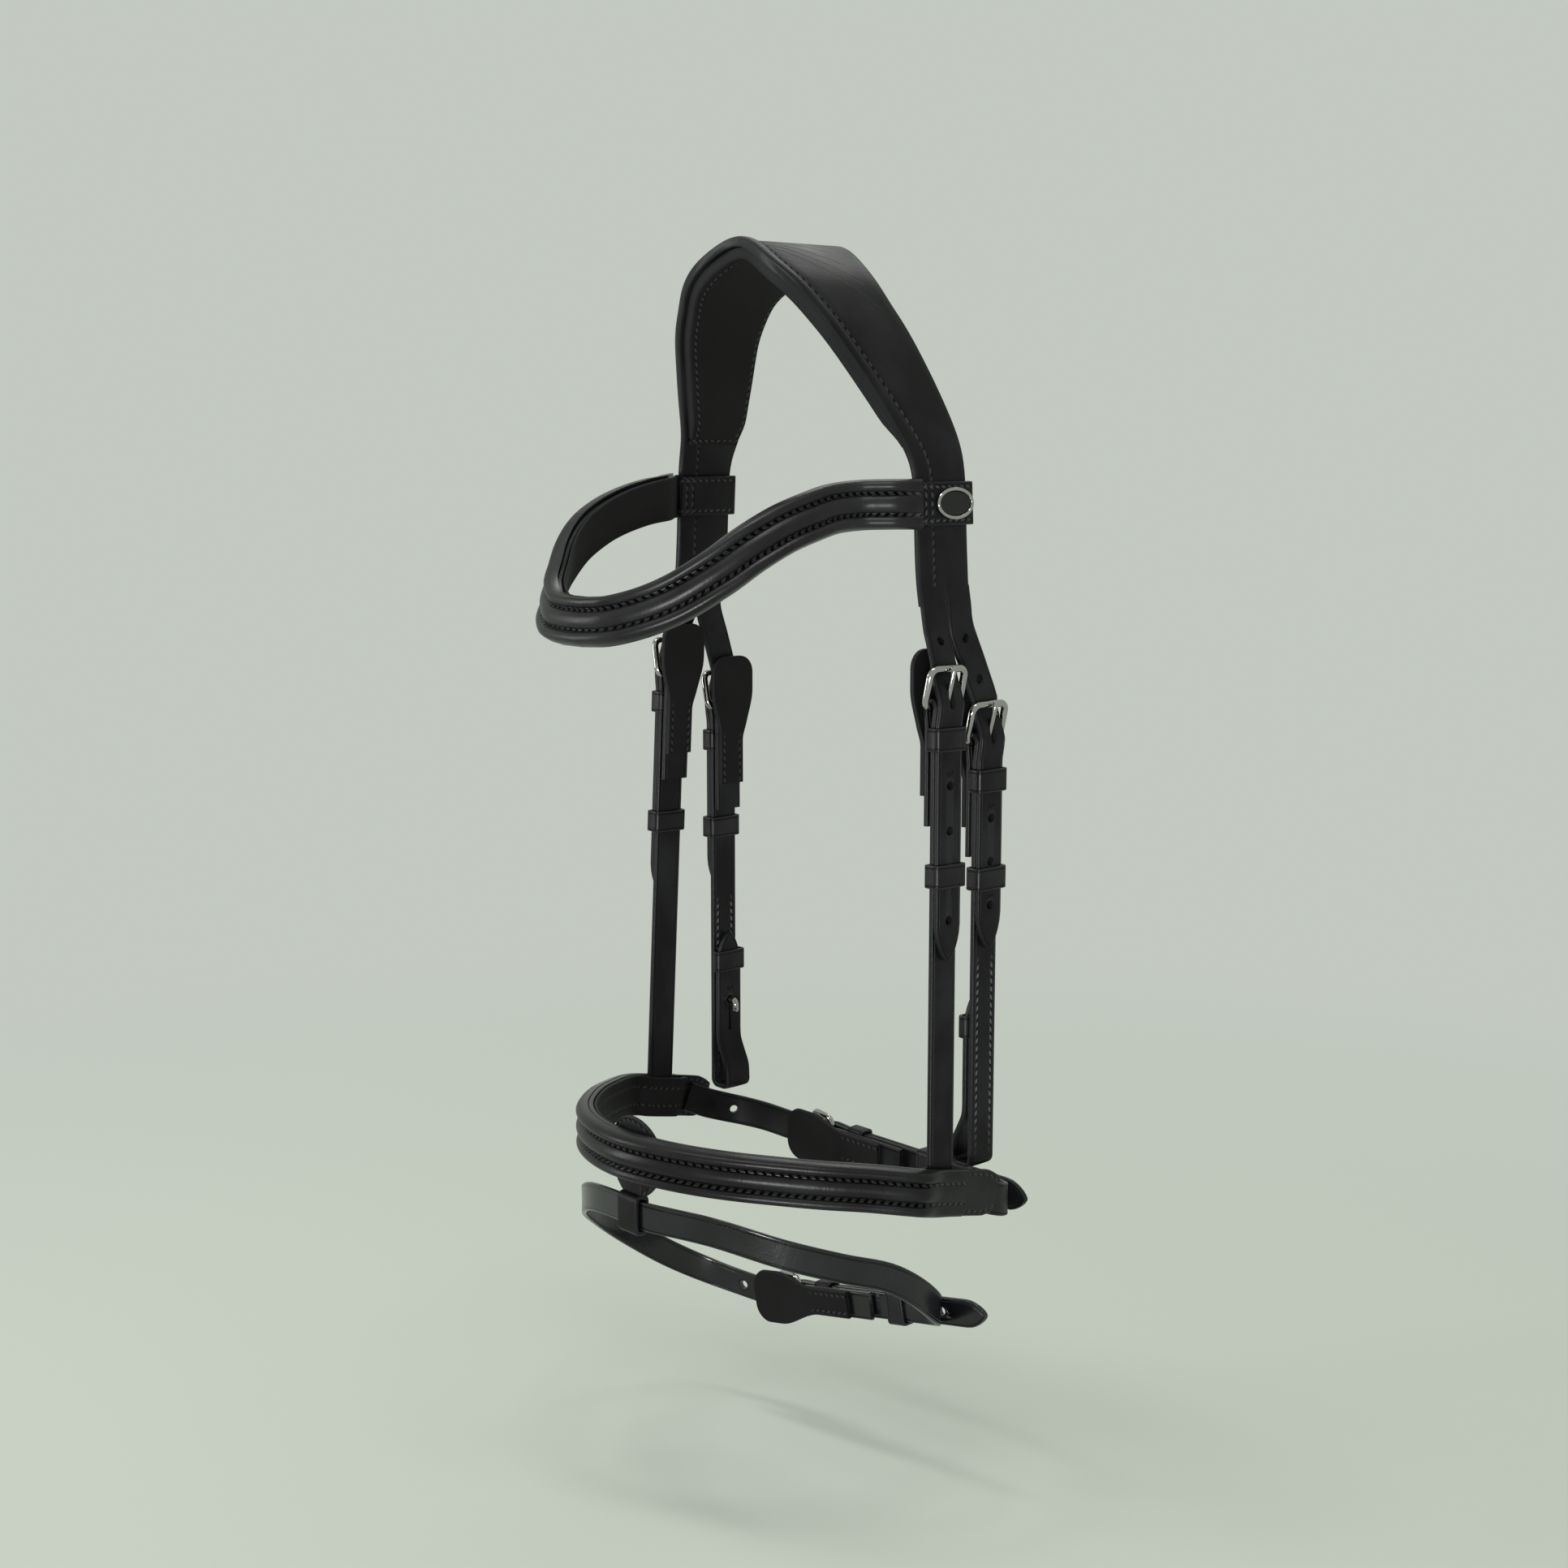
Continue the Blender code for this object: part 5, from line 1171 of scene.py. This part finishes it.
def nose_base_outline(k):
    """The strap behind the rolls, with rounded ends."""
    from_end = min(nose_reached[k], nose_reached[-1] - nose_reached[k])
    rounding = math.sqrt(min((from_end + EDGE) / (9 * MM), 1))
    return flat_outline(NOSE_HEIGHT / 2, NOSE_PLY, -NOSE_PLY / 2, 0.6 + 0.4 * rounding)


NOSE_SEWN = leather("sewn noseband strap", BLACK, "#1d1d1f", 0.38, 0.05 * MM, rows=(2.3 * MM,), shine=0.24)
nose_mesh = sweep(nose, nose_base_outline)
finish_piece("noseband_strap", nose_mesh, NOSE_SEWN, "bridle", ["noseband_base"])
padded = [row for row in nose if row[0].y < 20 * MM]
make_band_padding("noseband", padded, NOSE_HEIGHT, NOSE_PADDED, "bridle", thin_end=17 * MM)
print("noseband runs", round(1000 * nose_reached[-1]), "mm")

# %% Make the noseband's lining
LINING_LEVEL = -NOSE_PLY - GAP - NOSE_LINING / 2
lined = [row for row in nose_stations(6) if row[0].y < CHIN_FRONT - EDGE]


def lining_outline(k):
    """The lining, which bulges inwards over the hangers' feet."""
    off = abs(lined[k][0].y - HANGER_BACK)
    bulge = ramp((17 * MM - off) / (7 * MM)) * (PLY + 1.1 * MM)
    return flat_outline(NOSE_HEIGHT / 2 - EDGE, NOSE_LINING, LINING_LEVEL - bulge)


NOSE_LINED = leather(
    "stitched lining leather", "#0c0c0c", "#141414", 0.64, 0.09 * MM, rows=(GROOVES[1] * NOSE_HEIGHT - EDGE,),
)
nose_mesh = sweep(lined, lining_outline)
lining = finish_piece("noseband_back", nose_mesh, NOSE_LINED, "bridle", ["noseband_lining"])
print("lining points:", len(lining.data.vertices))

# %% [markdown]
# ## The dipped browband
# The browband loops round both necks of the headpiece and dips in a wave across the forehead. Its
# front leans in at the top, as the forehead slopes. The same three plies are swept along its wave.

# %% The browband's sizes and its loop round the neck
BROW_PLY = 2.2 * MM
BROW_LINING = 1.5 * MM
BROW_TOP = 111 * MM
BROW_HALF_WIDTH = 88.5 * MM
BROW_LENGTH = 123.5 * MM
BROW_DIP = 52 * MM
BROW_LEAN = math.radians(14)
BROW_HALF_HEIGHT = 10 * MM
BROW_PAD_HEIGHT = 23 * MM
# Out, forward and down along its left half, as shares of its half width, its length and its dip
BROW = (
    (0.905, -0.045, 0.0), (0.79, -0.13, 0.01), (0.75, -0.25, 0.04), (0.745, -0.37, 0.11),
    (0.725, -0.49, 0.21), (0.69, -0.61, 0.36), (0.62, -0.72, 0.56), (0.51, -0.82, 0.75),
    (0.385, -0.91, 0.885), (0.22, -0.98, 0.975), (0.07, -1.0, 1.0),
)


def neck_out(drop):
    """How far out the headpiece's neck lies at this height."""
    wanted = drop / ARCH_DROP
    rows = [(row[1], row[0]) for row in ARCH]
    for (high, first), (low, second) in zip(rows, rows[1:]):
        if low <= wanted <= high:
            return ARCH_HALF_WIDTH * (first + (second - first) * (high - wanted) / (high - low))
    return ARCH_HALF_WIDTH


def brow_tab_route():
    """The left tab's loop round the headpiece's neck, from its inner end to its outer one."""
    seam = neck_out(-BROW_TOP - CREST)
    front, rear = ARCH[-2][2] * CROWN_HALF, ARCH[-2][3] * CROWN_HALF
    off = 0.9 * MM + BROW_PLY / 2
    inner, outer = seam - off, seam + CROWN_PLY + off
    turn, centre = (outer - inner) / 2, (outer + inner) / 2
    back = rear + off - turn / 2
    points = [Vector((inner, front - BROW_PLY, 0)), Vector((inner, (front + rear) / 2, 0))]
    for step in range(13):
        angle = math.pi * step / 12
        points.append(Vector((centre - turn * math.cos(angle), back + turn / 2 * math.sin(angle), 0)))
    points += [Vector((outer, (front + rear) / 2, 0)), Vector((outer, front, 0))]
    return [point - UP * BROW_TOP for point in points]


print("the neck lies", round(1000 * neck_out(-BROW_TOP - CREST)), "mm out at the browband")

# %% The browband's route
def lean_frames(stations):
    """Tips each frame: the tabs follow the necks, and the front leans in at its top."""
    (first, high), (second, low) = [(row[0], row[1]) for row in ARCH[-4:-2]]
    neck_lean = math.atan2((second - first) * ARCH_HALF_WIDTH, (high - low) * ARCH_DROP)
    tipped = []
    for point, across, out in stations:
        side = 1 if point.x > 0 else -1
        forward = ramp(-point.y / (40 * MM))
        lean = neck_lean * out.x * side * (1 - forward) + BROW_LEAN * forward
        cosine, sine = math.cos(lean), math.sin(lean)
        tipped.append((point, across * cosine - out * sine, out * cosine + across * sine))
    return tipped


def brow_place(shares):
    out, forward, down = shares
    return Vector((out * BROW_HALF_WIDTH, forward * BROW_LENGTH, -BROW_TOP - down * BROW_DIP))


tab = brow_tab_route()
half_brow = tab + smooth_route([tab[-1]] + [brow_place(shares) for shares in BROW], 6)[1:]
whole = half_brow + [Vector((-point.x, point.y, point.z)) for point in reversed(half_brow)]
whole = lean_frames(frames(whole, across_hint=UP))
front_brow = whole[len(tab):len(whole) - len(tab)]
front_length = lengths_along([row[0] for row in front_brow])[-1]
print("browband runs", round(1000 * front_length), "mm in front of its tabs")

# %% Make the browband
brow_reached = lengths_along([row[0] for row in whole])
# Two rows of stitches across each tab's inner end and two across its outer one
seams = [3 * MM, 7 * MM, brow_reached[len(tab)] - 9 * MM, brow_reached[len(tab)] - 5 * MM]
TAB_SEWN = leather(
    "sewn browband tabs", BLACK, "#1d1d1f", 0.42, 0.05 * MM, rows=(2.3 * MM,),
    cross=seams + [brow_reached[-1] - seam for seam in seams], thread_tone="#38393b",
)
base = sweep(whole, flat_outline(BROW_HALF_HEIGHT, BROW_PLY, 0))
finish_piece("browband_strap", base, TAB_SEWN, "browband", ["browband_base"])
BROW_PADDED = leather(
    "padded browband leather", BLACK, "#1f1f21", 0.36, 0.045 * MM,
    rows=(GROOVES[1] * BROW_PAD_HEIGHT,), shine=0.3,
)
padded = whole[len(tab) - 1:len(whole) - len(tab) + 1]
face = [(point + out * (BROW_PLY / 2), across, out) for point, across, out in padded]
make_band_padding("browband", face, BROW_PAD_HEIGHT, BROW_PADDED, "browband")
level = -BROW_PLY / 2 - GAP - BROW_LINING / 2
back = sweep(front_brow[2:-2], flat_outline(BROW_PAD_HEIGHT / 2 - EDGE, BROW_LINING, level))
finish_piece("browband_back", back, LINING_LEATHER, "browband", ["browband_lining"])
print("rows across the tabs:", 2 * len(seams))

# %% [markdown]
# ## The badge
# On the left tab sits an oval steel rim with a plain plate in it. The rim is a round bar on an
# oval. The plate is a bmesh circle stretched to an oval and crowned.

# %% Make the badge
BADGE_HALF = Vector((12 * MM, 7.5 * MM))
BADGE_BACK = 14 * MM
BADGE_RISE = 1.2 * MM
RIM = 0.9 * MM
point, across, out = whole[len(tab) - 2]
along = across.cross(out)
face = point + out * (BROW_PLY / 2 + GAP)
face -= along * (along.y * (face.y - (tab[len(tab) // 2].y - BADGE_BACK)))
long, short = BADGE_HALF - Vector((RIM, RIM))
rim = []
for turn in turns_of(48):
    rim.append(face + out * RIM + along * (math.cos(turn) * long) + across * (math.sin(turn) * short))
rim_mesh = round_bar(ring_frames(rim, out), [RIM] * len(rim), closed=True)
finish_piece("badge_rim", rim_mesh, POLISHED_STEEL, "browband", ["concho_rim"])


def badge_plate():
    """A round plate of radius 1: a rounded edge, and a middle that stands a little proud."""
    plate = bmesh.new()
    bmesh.ops.create_circle(plate, cap_ends=True, segments=48, radius=1.0)
    bmesh.ops.inset_region(plate, faces=plate.faces[:], thickness=0.12, depth=0.0)
    middle = [face for face in plate.faces if len(face.verts) > 4]
    bmesh.ops.inset_region(plate, faces=middle, thickness=0.4, depth=0.0)
    for vert in plate.verts:
        vert.co.z = 1.0 if vert.co.xy.length < 0.95 else 0.85
        vert.co.z += 0.25 if vert.co.xy.length < 0.6 else 0.0
    rim = [edge for edge in plate.edges if edge.is_boundary]
    wall = bmesh.ops.extrude_edge_only(plate, edges=rim)["geom"]
    for vert in only(wall, BMVert):
        vert.co.z = 0.0
    bmesh.ops.holes_fill(plate, edges=[edge for edge in plate.edges if edge.is_boundary])
    return plate


long, short = BADGE_HALF - Vector((2 * RIM + GAP, 2 * RIM + GAP))
plate = badge_plate()
matrix = own_matrix(along * long, across * short, out * BADGE_RISE, face)
bmesh.ops.transform(plate, matrix=matrix, verts=plate.verts)
bmesh.ops.recalc_face_normals(plate, faces=plate.faces)
finish_piece("badge_plate", plate, PLATE_LACQUER, "browband", ["concho_plate"])
print("badge:", [round(2000 * half) for half in BADGE_HALF], "mm")

# %% [markdown]
# ## Chin strap and flash strap
# Behind the jaw the noseband closes with a strap and a billet at a station like the others. The flash
# strap is one thinner strap that goes through a loop under the nose and buckles behind the lips.

# %% Make the chin strap and its billet
BLUNT_TIP = 12 * MM
# Out, back and down round the jaw's corner, as shares of the way from the noseband to the chin
CHIN_CORNER = (
    (1.0, 0.0, 0.0), (1.0, 0.30, 0.38), (0.985, 0.58, 0.66), (0.925, 0.82, 0.86), (0.81, 0.96, 0.97),
    (0.66, 1.0, 1.0),
)


def chin_corner(side):
    start = nose_at(CHIN_FRONT)
    width = start.x - NOSE_PLY - GAP - PLY / 2
    length, fall = CHIN_BACK - CHIN_FRONT, CHIN_LEVEL - start.z
    points = []
    for out, back, down in CHIN_CORNER:
        points.append(Vector((side * width * out, CHIN_FRONT + back * length, start.z + down * fall)))
    return points


near = smooth_route(chin_corner(1), 6) + turn_route(CHIN)
mesh = sweep(frames(near, across_hint=UP), STRAP_OUTLINE, lambda k: STRAP_WIDTH / 2)
strap = finish_piece("chin_turned", mesh, STRAP_LEATHER, "bridle", ["chin_strap"])
cut(strap, [slot_cutter(CHIN)])
far = smooth_route(chin_corner(-1)[:-1] + [CHIN.at(GUARD_TOP + EDGE, BILLET_UNDER_CROSSBAR)], 6)
stations = frames(far + billet_route(CHIN, CHIN_REACH), across_hint=UP)
spare = hole_at(stations, lengths_along([row[0] for row in stations])[len(far) // 2])
cutters = billet_cutters(CHIN, CHIN_REACH) + [spare]
make_billet("chin_billet_strap", stations, cutters, ["chin_billet"], BLUNT_TIP)
dress_station("chin", CHIN, "bridle")
print("chin strap buckled at", [round(1000 * v) for v in CHIN.bar])

# %% Make the flash strap
FLASH_LEATHER = leather(
    "flash strap leather", "#0a0b0d", "#15171b", 0.22, 0.04 * MM, creases=(CREASE_IN,), shine=0.45,
)
# Points for flash_place, from the buckle round the right side and the nose to the left
FLASH_RING = (
    (-0.82, 0.90, -0.94), (-0.97, 0.73, -0.79), (-1.0, 0.52, -0.57), (-0.93, 0.33, -0.36),
    (-0.75, 0.17, -0.19), (-0.46, 0.055, -0.05), (-0.14, 0.007, 0.0), (0.0, 0.0, 0.0),
    (0.14, 0.007, 0.0), (0.5, 0.09, -0.01), (0.78, 0.26, -0.116), (0.91, 0.465, -0.233),
    (0.98, 0.66, -0.337), (1.0, 0.81, -0.477), (0.955, 0.953, -0.651),
)
billet = list(reversed(billet_route(FLASH, FLASH_REACH)))
ring = [FLASH.at(GUARD_TOP + EDGE, BILLET_UNDER_CROSSBAR)] + [flash_place(row) for row in FLASH_RING]
ring += [FLASH.at(-93 * MM, MAIN_LEVEL), FLASH.at(-85 * MM, MAIN_LEVEL)]
ring = smooth_route(ring, 5)
turn = turn_route(FLASH)
hints = [FLASH.across] * len(billet) + [UP] * len(ring) + [FLASH.across] * len(turn)
stations = frames(billet + ring + turn, across_hint=hints)
reached = lengths_along([row[0] for row in stations])
thin = strap_outline(PLY, 0.7 * MM, crown=0.15 * MM, half=FLASH_WIDTH / 2)
mesh = sweep(stations, thin, lambda k: billet_half_width(reached[k], FLASH_WIDTH, BLUNT_TIP))
strap = finish_piece("flash_ring", mesh, FLASH_LEATHER, "flash", ["flash_strap"])
spare = hole_at(stations, reached[len(billet)] + 13 * MM)
cut(strap, [slot_cutter(FLASH), spare] + billet_cutters(FLASH, FLASH_REACH))
dress_station("flash", FLASH, "flash")
print("flash strap length:", round(1000 * reached[-1]), "mm")

# %% Make the flash tab and its loop
TAB_HALF = 20 * MM
TAB_PLY = 2.2 * MM
LOOP_HALF = 7 * MM
STEM_HALF = 6.4 * MM
tab_level = LINING_LEVEL - NOSE_LINING / 2 - GAP - TAB_PLY / 2
tab_centre = NOSE_HEIGHT / 2 + 6 * MM - TAB_HALF
rows = [row for row in nose_stations(12) if row[0].y < 0 and abs(row[0].x) < TAB_HALF]


def tab_outline(k):
    """A round tab: its height follows a circle."""
    half = TAB_HALF * math.sqrt(max(1 - (rows[k][0].x / TAB_HALF) ** 2, 0.001))
    return [(tab_centre + a * half, tab_level + o) for a, o in strap_outline(TAB_PLY, EDGE, half=TAB_HALF)]


TAB_LEATHER = leather("flash tab leather", "#0d0d0e", "#171719", 0.5, 0.06 * MM, rows=(2.0 * MM,))
tab_mesh = sweep(rows, tab_outline)
finish_piece("flash_tab_round", tab_mesh, TAB_LEATHER, "bridle", ["flash_tab"])
slack = 0.8 * MM + TAB_PLY / 2
rise = FLASH_WIDTH / 2 + slack
middle = Vector((0, FLASH_FRONT, FLASH_LEVEL))
loop = []
for back, up in rounded_rectangle(PLY + 2 * slack, 2 * rise, TAB_PLY, 6):
    loop.append(middle + BACKWARDS * back + UP * up)
outline = strap_outline(TAB_PLY, EDGE, half=LOOP_HALF)
loop_mesh = sweep(ring_frames(loop, LEFTWARDS), outline, lambda k: LOOP_HALF, closed=True)
finish_piece("flash_loop", loop_mesh, PLAIN_LEATHER, "bridle")
stem_back = min(row[0].y for row in nose_stations(4)) - tab_level
stem = [Vector((0, stem_back, up)) for up in (NOSE_LEVEL + tab_centre, middle.z + rise + TAB_PLY)]
stem = frames(smooth_route(stem + [middle + UP * rise], 4), across_hint=LEFTWARDS)
stem_mesh = sweep(stem, strap_outline(TAB_PLY, EDGE, half=STEM_HALF), lambda k: STEM_HALF)
finish_piece("flash_stem", stem_mesh, PLAIN_LEATHER, "bridle")

# %% [markdown]
# ## The studio
# The camera looks at the left front of the bridle from a little above, with a 52.6 mm lens.
# The floor and the backdrop are pale and plain. Soft lamps beside the camera, above, in front and
# behind draw the long highlights that show black leather's form: without them it would be a
# silhouette. The lowest one is there for the flash strap, whose upright face mirrors what is low.

# %% Set up the camera
MIDDLE = Vector((0, 0, -0.25))
CAMERA_PLACE = Vector((0.8289, -0.7463, -0.0763))
AZIMUTH = math.radians(48)
TILT = math.radians(8.85)
camera_data = bpy.data.cameras.new("camera")
camera_data.lens = 52.58
camera_data.sensor_width = 36
camera = bpy.data.objects.new("camera", camera_data)
bpy.context.scene.collection.objects.link(camera)
look = Vector((-math.sin(AZIMUTH) * math.cos(TILT), math.cos(AZIMUTH) * math.cos(TILT), -math.sin(TILT)))
camera.location = CAMERA_PLACE
camera.rotation_euler = look.to_track_quat("-Z", "Y").to_euler()
bpy.context.scene.camera = camera
print("camera stands", round((CAMERA_PLACE - MIDDLE).length, 2), "m from the bridle's middle")

# %% Lay the floor and hang the backdrop
FLOOR_LEVEL = -0.60
BACKDROP = "#c3c9c0"
floor_mesh = bmesh.new()
bmesh.ops.create_grid(floor_mesh, x_segments=1, y_segments=1, size=30.0)
bmesh.ops.translate(floor_mesh, verts=floor_mesh.verts, vec=(0, 0, FLOOR_LEVEL))
floor_data = bpy.data.meshes.new("floor")
floor_mesh.to_mesh(floor_data)
floor_mesh.free()
floor = bpy.data.objects.new("floor", floor_data)
bpy.context.scene.collection.objects.link(floor)
floor_finish, floor_shader = new_finish("pale matt floor", "#c6cbc3", 0.95)
fill(floor_shader, {"Specular IOR Level": 0.0})
floor_data.materials.append(floor_finish)
world = bpy.data.worlds.new("studio")
bpy.context.scene.world = world
world.use_nodes = True
fill(world.node_tree.nodes["Background"], {"Color": colour(BACKDROP), "Strength": 1.0})
print("floor at", round(1000 * FLOOR_LEVEL), "mm")

# %% Fade the floor into the backdrop
# Only where the camera or a reflection sees it: the floor still lights the leather and takes its shadow
add = partial(add_node, floor_finish)
camera_ray = add("LightPath", output="Is Camera Ray")
glossy_ray = add("LightPath", output="Is Glossy Ray")
seen = add("Math", {0: camera_ray, 1: glossy_ray}, operation="MAXIMUM")
place = add("TexCoord", output="Object")
away = add("VectorMath", {0: place, 1: (0, 0, FLOOR_LEVEL)}, output="Value", operation="DISTANCE")
fade = add("MapRange", {0: away, 1: 0.3, 2: 1.2, 3: 0.2, 4: 1.0}, interpolation_type="SMOOTHSTEP")
share = add("Math", {0: fade, 1: seen}, operation="MULTIPLY")
plain = add("Emission", {"Color": colour(BACKDROP), "Strength": 1.0})
both = add("MixShader", {0: share, 1: floor_shader.outputs[0], 2: plain})
fill(floor_finish.node_tree.nodes["Material Output"], {"Surface": both})
print("floor fades into the backdrop from 0.3 to 1.2 m")

# %% Place the soft lamps
def soft_lamp(name, place, size, power):
    """A rectangular lamp that faces the bridle's middle."""
    data = bpy.data.lights.new(name, "AREA")
    data.shape = "RECTANGLE"
    data.size, data.size_y = size
    data.energy = power
    lamp = bpy.data.objects.new(name, data)
    lamp.location = place
    lamp.rotation_euler = (MIDDLE - Vector(place)).to_track_quat("-Z", "Y").to_euler()
    lamp.visible_camera = False
    bpy.context.scene.collection.objects.link(lamp)


soft_lamp("low lamp beside the camera", (1.26, -1.22, -0.49), (0.4, 0.18), 23)
soft_lamp("long lamp above", (0.1, -0.3, 1.5), (1.3, 0.22), 13)
soft_lamp("tall lamp in front", (-1.15, -1.35, 0.1), (0.3, 1.2), 11)
soft_lamp("lamp behind and above", (-0.9, 1.15, 1.0), (0.9, 0.3), 3)
bpy.context.scene.view_settings.view_transform = "Standard"
print("lamps:", len(bpy.data.lights))
